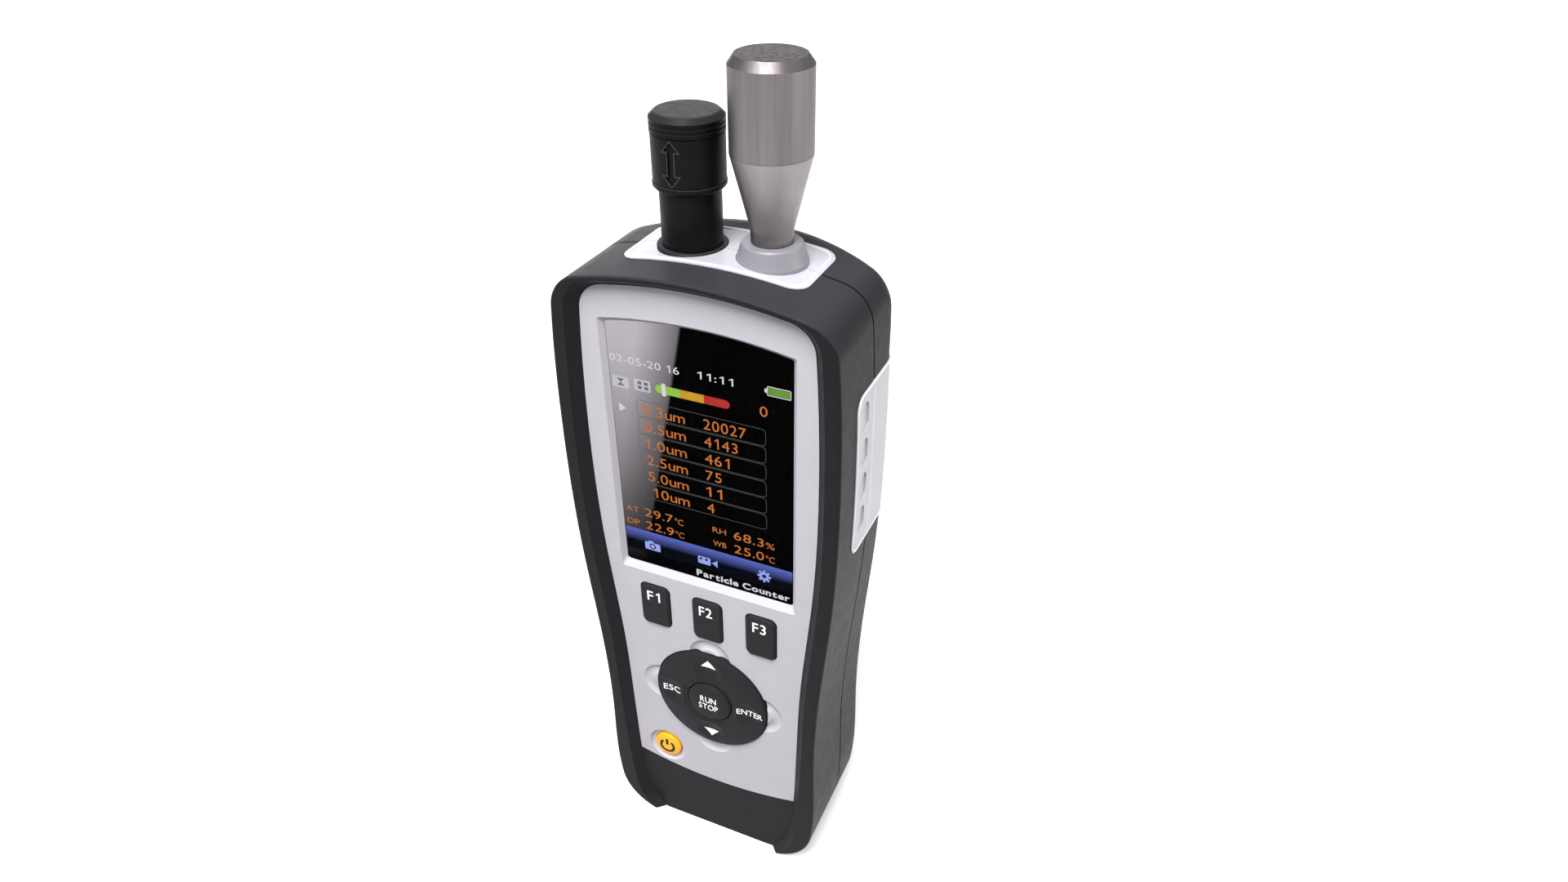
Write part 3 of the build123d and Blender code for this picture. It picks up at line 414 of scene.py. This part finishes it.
def rounded(x0, x1, z0, z1, radius, steps=6):
    """Points of a rounded rectangle."""
    points = []
    corners = ((x1, z1, 0), (x0, z1, 90), (x0, z0, 180), (x1, z0, 270))
    for x, z, start in corners:
        cx = x - radius if x == x1 else x + radius
        cz = z - radius if z == z1 else z + radius
        for k in range(steps + 1):
            angle = math.radians(start + 90 * k / steps)
            points.append((cx + radius * math.cos(angle), cz + radius * math.sin(angle)))
    return points


def circle(x, z, radius, steps=20):
    """Points of a circle."""
    return [(x + radius * math.cos(2 * math.pi * k / steps), z + radius * math.sin(2 * math.pi * k / steps))
            for k in range(steps)]


def half_circle(x, z, radius, start, steps=8):
    """Points of a half circle, clockwise from a start angle in degrees."""
    angles = [math.radians(start - 180 / steps * k) for k in range(steps + 1)]
    return [(x + radius * math.cos(angle), z + radius * math.sin(angle)) for angle in angles]


FONT_CAP = 0.7                    # cap height of the built-in face at size 1
DIGIT_CELL = 0.77                 # width of every figure's cell, in cap heights like the next two
LETTER_GAP, SPACE_CELL = 0.12, 0.36
TITLE_WEIGHT, LEGEND_WEIGHT = 0.03, 0.008
GLYPHS = {}


def one_glyph(weight):
    """Upright figure one with its flag; the built-in face draws it as a plain bar."""
    stem = 0.135 + 2 * weight
    right = 0.44 + weight
    left = right - stem
    points = [(left, 0), (right, 0), (right, 1), (left + 0.03, 1), (0.1, 0.81), (0.1, 0.66), (left, 0.83)]
    return points, [list(range(len(points)))]


def glyph(letter, weight):
    """Points and faces of one letter with a cap height of 1, kept for the next use."""
    if (letter, weight) not in GLYPHS:
        if letter == "1":
            GLYPHS[letter, weight] = one_glyph(weight)
        else:
            GLYPHS[letter, weight] = drawn_glyph(letter, weight)
    return GLYPHS[letter, weight]


def drawn_glyph(letter, weight):
    """Points and faces of one letter of the built-in face."""
    curve = bpy.data.curves.new("letter", "FONT")
    curve.body = letter
    curve.resolution_u = 4
    curve.offset = weight
    holder = bpy.data.objects.new("letter", curve)
    bpy.context.collection.objects.link(holder)
    bpy.context.view_layer.update()
    graph = bpy.context.evaluated_depsgraph_get()
    mesh = bpy.data.meshes.new_from_object(holder.evaluated_get(graph))
    points = [(v.co.x / FONT_CAP, v.co.y / FONT_CAP) for v in mesh.vertices]
    faces = [list(face.vertices) for face in mesh.polygons]
    bpy.data.objects.remove(holder)
    bpy.data.curves.remove(curve)
    bpy.data.meshes.remove(mesh)
    return points, faces


def add_piece(name, mesh, body, slot, material=None):
    """Piece that rides on a body, in the slot's own material unless another is given."""
    piece = bpy.data.objects.new(name, mesh)
    bpy.context.collection.objects.link(piece)
    mesh.materials.append(material or MATERIALS[slot])
    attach(piece, body)


def print_on(name, art, node, body, slot, thickness=0.035, material=None):
    """Artwork printed on the front of a CAD node, following its real surface."""
    trees = tree_of(node)
    sink = 0.012

    def surface_y(x, z):
        hit = cast(trees, (x * MM, -0.05, z * MM), (0, 1, 0))
        return (hit[0].y / MM if hit else box_mm(node)[0][1]) + sink

    add_piece(name, art.mesh(name, surface_y, thickness, 0.45), body, slot, material)


# ------------------------------------------------------------------ the screen
WINDOW_LOW, WINDOW_HIGH = box_mm("display_window")
SCREEN_X = (WINDOW_LOW[0] + WINDOW_HIGH[0]) / 2
SCREEN_HALF = (WINDOW_HIGH[0] - WINDOW_LOW[0]) / 2
SCREEN_BOTTOM = WINDOW_LOW[2]
SCREEN_TOP = WINDOW_HIGH[2]
SCREEN_ARCH = 2.4
MASK_Y = WINDOW_LOW[1] + 0.15     # the film is laminated into the window, just behind its front
INK_Y = MASK_Y - 0.015
ROW_PITCH = 4.95
ROWS_TOP = SCREEN_BOTTOM + 51.5
ROWS = (("0.3um", "20027"), ("0.5um", "4143"), ("1.0um", "461"), ("2.5um", "75"), ("5.0um", "11"), ("10um", "4"))
FILM_OVERLAP = 0.3                # how far the film runs past the window's sides
GLARE_PAINT_EDGE, GLARE_PAINT_LEAN = 4.2, 0.2   # the painted glare's edge left of the middle at the top, and its slope
GLARE_PAINT_FADE = 11                   # width over which the painted glare weakens towards that edge


def make_mask_material():
    """Black screen film with a painted reflection: a pale diagonal glare that it emits, strongest at the upper
    left.
    """
    black = linear(2, 2, 2)
    shader = Shader("screen_film", black, 0.6)
    shader.mottle(0.1, 0.2)
    # Painted reflection: a pale diagonal glare emitted by the film, fading downwards and towards its right edge.
    x, z = shader.axis(shader.place, "X"), shader.axis(shader.place, "Z")
    lean = shader.math("MULTIPLY_ADD", z, -GLARE_PAINT_LEAN, x)
    edge = (SCREEN_X - GLARE_PAINT_EDGE - GLARE_PAINT_LEAN * SCREEN_TOP) * MM
    inside = shader.ramp(lean, 1.0, 0.0, edge - 0.4 * MM, edge + 0.4 * MM)
    down = shader.ramp(z, 0.0, 1.0, SCREEN_BOTTOM * MM, (SCREEN_TOP - 6) * MM)
    across = shader.ramp(lean, 1.0, 0.3, edge - GLARE_PAINT_FADE * MM, edge)
    strength = shader.math("MULTIPLY", shader.math("MULTIPLY", inside, down), across)
    painted_glare = shader.blend(strength, black, linear(190, 184, 190))
    shader.links.new(painted_glare, shader.shader.inputs["Emission Color"])
    shader.put(Emission_Strength=1.0, Specular_IOR_Level=0.0)
    return shader.material


def screen_piece(name, art, slot, lift=0.0, thickness=0.02, material=None):
    """Screen artwork, lying on the black film or lifted off it."""
    add_piece(name, art.mesh(name, lambda x, z: INK_Y - lift, thickness), "housing", slot, material)


def make_mask():
    """Black film that fills the window just behind the front of its glass, arched at the top."""
    half, bottom = SCREEN_HALF + FILM_OVERLAP, SCREEN_BOTTOM - FILM_OVERLAP
    corner_z = SCREEN_TOP - SCREEN_ARCH
    steps = 16
    edge = [(SCREEN_X - half, bottom), (SCREEN_X + half, bottom)]
    for k in range(steps + 1):
        along = 1 - 2 * k / steps
        edge.append((SCREEN_X + along * half, corner_z + SCREEN_ARCH * (1 - along ** 2)))
    mesh = Artwork().polygon(edge).mesh("screen_film", lambda x, z: MASK_Y + 0.03, 0.03)
    add_piece("screen_film", mesh, "housing", "screen_black", make_mask_material())


def row_top(row):
    """Height of the upper line of a row of the table."""
    return ROWS_TOP - row * ROW_PITCH


def make_rows():
    """Table of particle sizes and counts, each row in a fine frame."""
    labels, values, frames = Artwork(), Artwork(), Artwork()
    cap, figure = 2.95, 2.3
    for row, (label, value) in enumerate(ROWS):
        base = row_top(row) - 3.95
        left = -15.8 if len(label) == 5 else -14.6
        labels.text(label, left, -4.3, base, cap)
        values.text(value, 0.7, 0.7 + figure * len(value) - 0.25, base, cap)
        frames.frame(-17.5, 17.1, row_top(row) - ROW_PITCH + 0.25, row_top(row), 1.1, 0.1)
    screen_piece("screen_row_labels", labels, "glow_orange")
    screen_piece("screen_row_values", values, "glow_orange")
    screen_piece("screen_row_frames", frames, "glow_line")


def make_readings():
    """Air temperature, dew point, relative humidity and wet bulb, under the rows."""
    art = Artwork()
    readings = (("AT", "29.7", "°C", -23.4, -17.8, 15.9), ("DP", "22.9", "°C", -23.4, -17.8, 11.7),
                ("RH", "68.3", "%", 1.9, 7.9, 16.3), ("WB", "25.0", "°C", 1.9, 7.9, 12.0))
    for name, value, unit, x_name, x_value, up in readings:
        base = SCREEN_BOTTOM + up
        art.text(name, x_name, x_name + 3.8, base + 0.5, 1.7)
        art.text(value, x_value, x_value + 8.3, base, 2.6)
        art.text(unit, x_value + 8.8, x_value + 11.3, base, 1.9)
    screen_piece("screen_readings", art, "glow_orange")


def make_header():
    """Date, time, mode icons, the battery's outline and the running mark."""
    white = Artwork()
    base = SCREEN_BOTTOM + 61.0
    white.text("02-05-20 16", -24.0, -5.1, base, 2.0)
    white.text("11:11", -0.2, 9.0, base + 0.2, 2.0)
    mark = row_top(0) - 3.4
    white.polygon([(-22.5, mark + 1.2), (-22.5, mark - 1.2), (-20.6, mark)])
    white.frame(17.5, 23.5, SCREEN_BOTTOM + 60.9, SCREEN_BOTTOM + 63.4, 0.35, 0.22)
    white.polygon(rounded(16.9, 17.55, SCREEN_BOTTOM + 61.6, SCREEN_BOTTOM + 62.7, 0.2))
    screen_piece("screen_header", white, "glow_white")
    icons, marks = Artwork(), Artwork()
    low = SCREEN_BOTTOM + 53.8
    for x0, lift in ((-23.7, 0.0), (-17.7, 0.3)):
        icons.polygon(rounded(x0, x0 + 4.5, low + lift, low + lift + 3.2, 0.35))
    icon_glow = make_glow("screen_mode_icons", linear(196, 196, 204), 1.0)
    screen_piece("screen_mode_icons", icons, "glow_white", material=icon_glow)
    for z in (low + 0.6, low + 2.6):
        marks.polygon([(-22.5, z), (-20.4, z), (-21.45, low + 1.6)])
    for x in (-16.7, -14.9):
        for z in (low + 0.85, low + 2.1):
            marks.polygon(rounded(x, x + 1.1, z, z + 0.85, 0.2))
    mark_glow = make_glow("screen_mode_marks", linear(112, 112, 120), 1.0)
    screen_piece("screen_mode_marks", marks, "glow_white", 0.02, material=mark_glow)


def make_gauge():
    """Green, amber and red bar with a white pointer, the battery's level and the countdown."""
    low, high = SCREEN_BOTTOM + 54.75, SCREEN_BOTTOM + 57.05
    middle, radius = (low + high) / 2, 1.15
    amber_from, amber_to = -5.2, 1.2
    bars = (("green", [(amber_from, high), (amber_from, low)] + half_circle(-10.7, middle, radius, 270)),
            ("yellow", [(amber_from, low), (amber_from, high), (amber_to, high), (amber_to, low)]),
            ("red", [(amber_to, low), (amber_to, high)] + half_circle(6.8, middle, radius, 90)))
    for colour, points in bars:
        screen_piece(f"screen_gauge_{colour}", Artwork().polygon(points), f"glow_{colour}")
    pointer = Artwork().polygon(rounded(-10.1, -9.0, low - 0.6, high + 0.6, 0.3))
    screen_piece("screen_gauge_pointer", pointer, "glow_white", 0.02)
    fill = Artwork().polygon(rounded(17.85, 23.15, SCREEN_BOTTOM + 61.25, SCREEN_BOTTOM + 63.05, 0.15))
    fill_glow = make_glow("screen_battery_level", linear(98, 152, 52), 1.0)
    screen_piece("screen_battery_level", fill, "glow_green", material=fill_glow)
    zero = Artwork().text("0", 15.6, 17.6, SCREEN_BOTTOM + 55.0, 2.75)
    screen_piece("screen_countdown", zero, "glow_orange")


def make_band_material(low, high):
    """Blue light of the menu band, fading to black in its lower half."""
    shader = Shader("screen_menu_band", linear(3, 4, 8), 0.6)
    up = shader.ramp(shader.axis(shader.place, "Z"), 0.0, 1.0, (low + 3.2) * MM, high * MM)
    glow = shader.blend(up, linear(5, 6, 14), linear(96, 110, 198))
    shader.links.new(glow, shader.shader.inputs["Emission Color"])
    shader.put(Emission_Strength=0.9, Specular_IOR_Level=0.0)
    return shader.material


def make_menu_bar():
    """Menu band over the three soft keys, its camera, video and settings icons, and the title."""
    low, high = SCREEN_BOTTOM + 3.6, SCREEN_BOTTOM + 10.8
    edge = SCREEN_HALF - 0.25
    band = Artwork().polygon(rounded(-edge, edge, low, high, 0.2))
    screen_piece("screen_menu_band", band, "glow_blue", 0.0, 0.012, make_band_material(low, high))
    icons, holes = Artwork(), Artwork()
    z = SCREEN_BOTTOM + 6.2
    icons.polygon(rounded(-18.6, -14.0, z - 1.4, z + 1.1, 0.35))
    icons.polygon(rounded(-17.5, -15.9, z + 0.9, z + 1.6, 0.2))
    holes.band(circle(-16.3, z - 0.1, 0.95), circle(-16.3, z - 0.1, 0.6))
    z = SCREEN_BOTTOM + 6.5
    icons.polygon(rounded(-2.8, 0.9, z - 1.3, z + 1.1, 0.4))
    icons.polygon([(1.2, z - 0.2), (2.9, z + 0.9), (2.9, z - 1.3)])
    holes.polygon(circle(-1.9, z + 0.35, 0.4)).polygon(circle(-0.3, z + 0.35, 0.4))
    z = SCREEN_BOTTOM + 6.8
    gear_x, teeth = 16.2, 8
    gear = []
    for tooth in range(teeth):
        for turn, reach in ((-0.34, 1.3), (-0.2, 1.95), (0.2, 1.95), (0.34, 1.3)):
            angle = 2 * math.pi * (tooth + turn) / teeth
            gear.append((gear_x + reach * math.cos(angle), z + 0.1 + reach * math.sin(angle)))
    icons.polygon(gear)
    holes.polygon(circle(gear_x, z + 0.1, 0.62))
    screen_piece("screen_menu_icons", icons, "glow_blue", 0.014, 0.01)
    screen_piece("screen_menu_holes", holes, "print_black", 0.026, 0.01)
    title = Artwork().text("Particle Counter", -3.4, 23.3, SCREEN_BOTTOM + 0.85, 1.95, TITLE_WEIGHT)
    screen_piece("screen_title", title, "glow_white")


# ------------------------------------------------------------------ legends
def make_key_legends():
    """Numbers on the three soft keys."""
    for number in (1, 2, 3):
        key = f"key_f{number}"
        x, top = middle_mm(key)[0], box_mm(key)[1][2]
        art = Artwork().text(f"F{number}", x - 2.15, x + 1.75, top - 6.2, 3.3, LEGEND_WEIGHT)
        print_on(f"legend_f{number}", art, key, f"f{number}_key", "print_white")


def make_pad_legends():
    """Arrows and words of the rocking pad, and the words of the button in its middle."""
    x, z = middle_mm("nav_pad")
    art = Artwork()
    art.polygon([(x - 2.3, z + 12.9), (x + 2.3, z + 12.9), (x, z + 15.7)])
    art.polygon([(x - 2.3, z - 11.6), (x, z - 14.2), (x + 2.3, z - 11.6)])
    art.text("ESC", x - 14.9, x - 9.5, z - 1.0, 2.2, LEGEND_WEIGHT)
    art.text("ENTER", x + 8.5, x + 16.3, z - 0.9, 2.0, LEGEND_WEIGHT)
    print_on("legend_pad", art, "nav_pad", "nav_disc", "print_white")
    art = Artwork()
    art.text("RUN", x - 2.5, x + 2.5, z + 0.4, 2.1, LEGEND_WEIGHT)
    art.text("STOP", x - 3.0, x + 3.0, z - 2.35, 2.1, LEGEND_WEIGHT)
    print_on("legend_run_stop", art, "run_stop_button", "run_key", "print_white")


def make_power_legend():
    """Open ring with a bar in its gap."""
    x, z = middle_mm("power_button")
    gap, steps = 38, 24
    rings = []
    for radius in (2.55, 1.75):
        angles = [math.radians(90 + gap + (360 - 2 * gap) * k / steps) for k in range(steps + 1)]
        rings.append([(x + radius * math.cos(a), z - 0.1 + radius * math.sin(a)) for a in angles])
    art = Artwork().band(*rings, closed=False)
    art.polygon(rounded(x - 0.42, x + 0.42, z + 0.35, z + 2.75, 0.3))
    print_on("legend_power", art, "power_button", "power_key", "print_black")


ARROW_TIP, ARROW_NECK = 5.0, 2.75       # heights of the tip and of the head's foot over the middle
ARROW_HEAD, ARROW_SHAFT = 1.9, 0.75     # half widths


def double_arrow(x, z, grow):
    """Outline of the sleeve's double arrow, grown evenly."""
    corner = [(0, ARROW_TIP + 1.6 * grow),
              (ARROW_HEAD + 1.9 * grow, ARROW_NECK - grow),
              (ARROW_SHAFT + grow, ARROW_NECK - grow)]
    corner += [(across, -up) for across, up in reversed(corner)]
    corner += [(-across, up) for across, up in reversed(corner[1:-1])]
    return [(x + across, z + up) for across, up in corner]


def make_sleeve_arrow():
    """Fine raised edge round the arrow pressed into the sleeve, in a paler grey that is a painted highlight on
    the arrow's bevel.
    """
    x, z = middle_mm("sensor_sleeve")[0], box_mm("sensor_sleeve")[0][2] + 7.4
    art = Artwork().band(double_arrow(x, z, 0.2), double_arrow(x, z, 0.05))
    # Painted highlight: the edge is a paler grey than the black sleeve.
    arrow_painted_highlight = plastic("arrow_painted_highlight", linear(46, 46, 49), 0.35, 0.004, 6.0, 0.06).material
    print_on("sleeve_arrow_edge", art, "sensor_sleeve", "sleeve", "sensor_black", 0.05, arrow_painted_highlight)


# ------------------------------------------------------------------ beads round the inlays
# Painted highlight: the beads are whiter and glossier than the inlays they edge, standing in for the highlights
# along those edges.
HIGHLIGHT_BEAD_PLASTIC = plastic("bead_painted_highlight", linear(246, 245, 250), 0.14, 0.002, 2.0, 0.015).put(
    Coat_Weight=0.6, Coat_Roughness=0.05).material


def bead(name, path, radius, closed=False):
    """Thin raised bead along a path of points in metres, whiter and glossier than the inlay: a painted highlight
    on its edge.
    """
    curve = bpy.data.curves.new(name, "CURVE")
    curve.dimensions = "3D"
    curve.bevel_depth = radius * MM
    curve.bevel_resolution = 2
    curve.use_fill_caps = True
    spline = curve.splines.new("POLY")
    spline.points.add(len(path) - 1)
    for point, place in zip(spline.points, path):
        point.co = (place[0], place[1], place[2], 1)
    spline.use_cyclic_u = closed
    piece = bpy.data.objects.new(name, curve)
    bpy.context.collection.objects.link(piece)
    curve.materials.append(HIGHLIGHT_BEAD_PLASTIC)
    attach(piece, "housing")


def dense(points, step=0.7, closed=False):
    """Points added along straight stretches, so that a bead can follow a curved surface."""
    out = []
    pairs = list(zip(points, points[1:] + points[:1]))
    for a, b in pairs if closed else pairs[:-1]:
        count = max(1, int(math.dist(a, b) / step))
        out += [tuple(p + (q - p) * k / count for p, q in zip(a, b)) for k in range(count)]
    return out if closed else out + [points[-1]]


def make_top_bead():
    """Bead just inside the outline of the top inlay, across its seam."""
    low, high = box_mm("top_panel_front")
    y_back = box_mm("top_panel_rear")[1][1]
    margin = 1.1
    ring = rounded(low[0] + margin, high[0] - margin, low[1] + margin, y_back - margin, 3.6, 8)
    trees = tree_of("top_panel_front", "top_panel_rear")
    path = []
    for x, y in dense(ring, closed=True):
        hit = cast(trees, (x * MM, y * MM, 0.25), (0, 0, -1))
        if hit:
            path.append(hit[0] + hit[1] * 0.05 * MM)
    bead("top_panel_bead", path, 0.22, closed=True)


def side_surface(trees, sign, y, z):
    """Point just under the side inlay's face, or None where a ray from the side misses it."""
    hit = cast(trees, (sign * 0.06, y * MM, z * MM), (-sign, 0, 0))
    return hit[0] - hit[1] * 0.06 * MM if hit else None


def make_side_beads():
    """Bead along the outline of each side inlay, and a rib along its seam."""
    for side, sign in (("left", -1), ("right", 1)):
        front, rear = f"side_panel_front_{side}", f"side_panel_rear_{side}"
        low, high = box_mm(front)
        y_back = box_mm(rear)[1][1] - 1.2
        edge, radius = 0.45, 3.6
        y0, z0, z1 = low[1] + edge, low[2] + edge, high[2] - edge
        line = [(y_back, z1), (y0 + radius, z1)]
        for a in (math.radians(turn) for turn in range(15, 91, 15)):
            line.append((y0 + radius - radius * math.sin(a), z1 - radius + radius * math.cos(a)))
        for a in (math.radians(turn) for turn in range(0, 91, 15)):
            line.append((y0 + radius - radius * math.cos(a), z0 + radius - radius * math.sin(a)))
        line.append((y_back, z0))
        trees = tree_of(front, rear)
        path = [side_surface(trees, sign, y, z) for y, z in dense(line)]
        bead(f"side_panel_edge_{side}", [p for p in path if p], 0.3)
        rib_y = high[1] - 0.29
        line = dense([(rib_y, z0 + 0.6), (rib_y, z1 - 0.6)])
        path = [side_surface(trees, sign, y, z) for y, z in line]
        bead(f"side_panel_rib_{side}", [p for p in path if p], 0.24)


# ------------------------------------------------------------------ stage
def add_area(name, place, target, size, power):
    """White area light at a place in metres, turned to its target."""
    light = bpy.data.lights.new(name, "AREA")
    light.size = size
    light.energy = power
    lamp = bpy.data.objects.new(name, light)
    bpy.context.collection.objects.link(lamp)
    lamp.location = place
    lamp.rotation_euler = (Vector(target) - Vector(place)).to_track_quat("-Z", "Y").to_euler()


def make_stage():
    """Pale floor, backdrop and four soft lights."""
    floor_mesh = bpy.data.meshes.new("floor")
    reach = 6.0
    floor_mesh.from_pydata([(-reach, -reach, 0), (reach, -reach, 0), (reach, reach, 0), (-reach, reach, 0)],
                           [], [(0, 1, 2, 3)])
    floor = bpy.data.objects.new("floor", floor_mesh)
    bpy.context.collection.objects.link(floor)
    pale = Shader("floor_paper", (0.93, 0.93, 0.93, 1), 0.8)
    pale.put(Emission_Color=(1, 1, 1, 1), Emission_Strength=0.3)
    floor_mesh.materials.append(pale.mottle(0.002, 0.005).material)
    floor.visible_diffuse = False
    make_world()
    add_area("key_above", (0.0, -0.6, 1.2), (0, 0, 0.1), 0.6, 23.0)
    add_area("fill_front", (-0.3, -1.3, 0.7), (0, 0, 0.1), 0.9, 1.5)
    add_area("fill_back", (-0.7, 1.2, 0.12), (0, 0, 0.12), 0.7, 5.0)
    add_area("side_right", (1.2, 0.35, 0.4), (0, 0, 0.12), 0.7, 6.0)
    bpy.context.scene.view_settings.view_transform = "Standard"


def make_world():
    """White backdrop; its light on the object is bright from above and dim from below."""
    world = bpy.data.worlds.new("studio")
    world.use_nodes = True
    nodes, links = world.node_tree.nodes, world.node_tree.links
    direction = nodes.new("ShaderNodeSeparateXYZ")
    links.new(nodes.new("ShaderNodeTexCoord").outputs["Generated"], direction.inputs["Vector"])
    level = nodes.new("ShaderNodeMapRange")
    level.interpolation_type = "SMOOTHSTEP"
    for name, value in (("From Min", -0.5), ("From Max", 0.9), ("To Min", 0.1), ("To Max", 0.65)):
        level.inputs[name].default_value = value
    links.new(direction.outputs["Z"], level.inputs["Value"])
    seen = nodes.new("ShaderNodeMix")
    links.new(nodes.new("ShaderNodeLightPath").outputs["Is Camera Ray"], seen.inputs["Factor"])
    links.new(level.outputs["Result"], seen.inputs["A"])
    seen.inputs["B"].default_value = 1.0
    background = nodes["Background"]
    background.inputs["Color"].default_value = (1, 1, 1, 1)
    links.new(seen.outputs["Result"], background.inputs["Strength"])
    bpy.context.scene.world = world


CAMERA_PLACE = (105.9 * MM, -210.2 * MM, 286.3 * MM)
CAMERA_YAW, CAMERA_PITCH = 23.73, 33.36
CAMERA_LENS = 24.86


def make_camera():
    """Camera above and to the right of the front, looking down at the counter."""
    data = bpy.data.cameras.new("camera")
    data.lens = CAMERA_LENS
    data.sensor_width = 36.0
    data.clip_start = 0.005
    camera = bpy.data.objects.new("camera", data)
    bpy.context.collection.objects.link(camera)
    camera.location = CAMERA_PLACE
    camera.rotation_euler = (math.radians(90 - CAMERA_PITCH), 0, math.radians(CAMERA_YAW))
    bpy.context.scene.camera = camera


make_camera()
make_stage()
dress_frame()
make_mask()
make_header()
make_gauge()
make_rows()
make_readings()
make_menu_bar()
make_key_legends()
make_pad_legends()
make_power_legend()
make_sleeve_arrow()
make_top_bead()
make_side_beads()
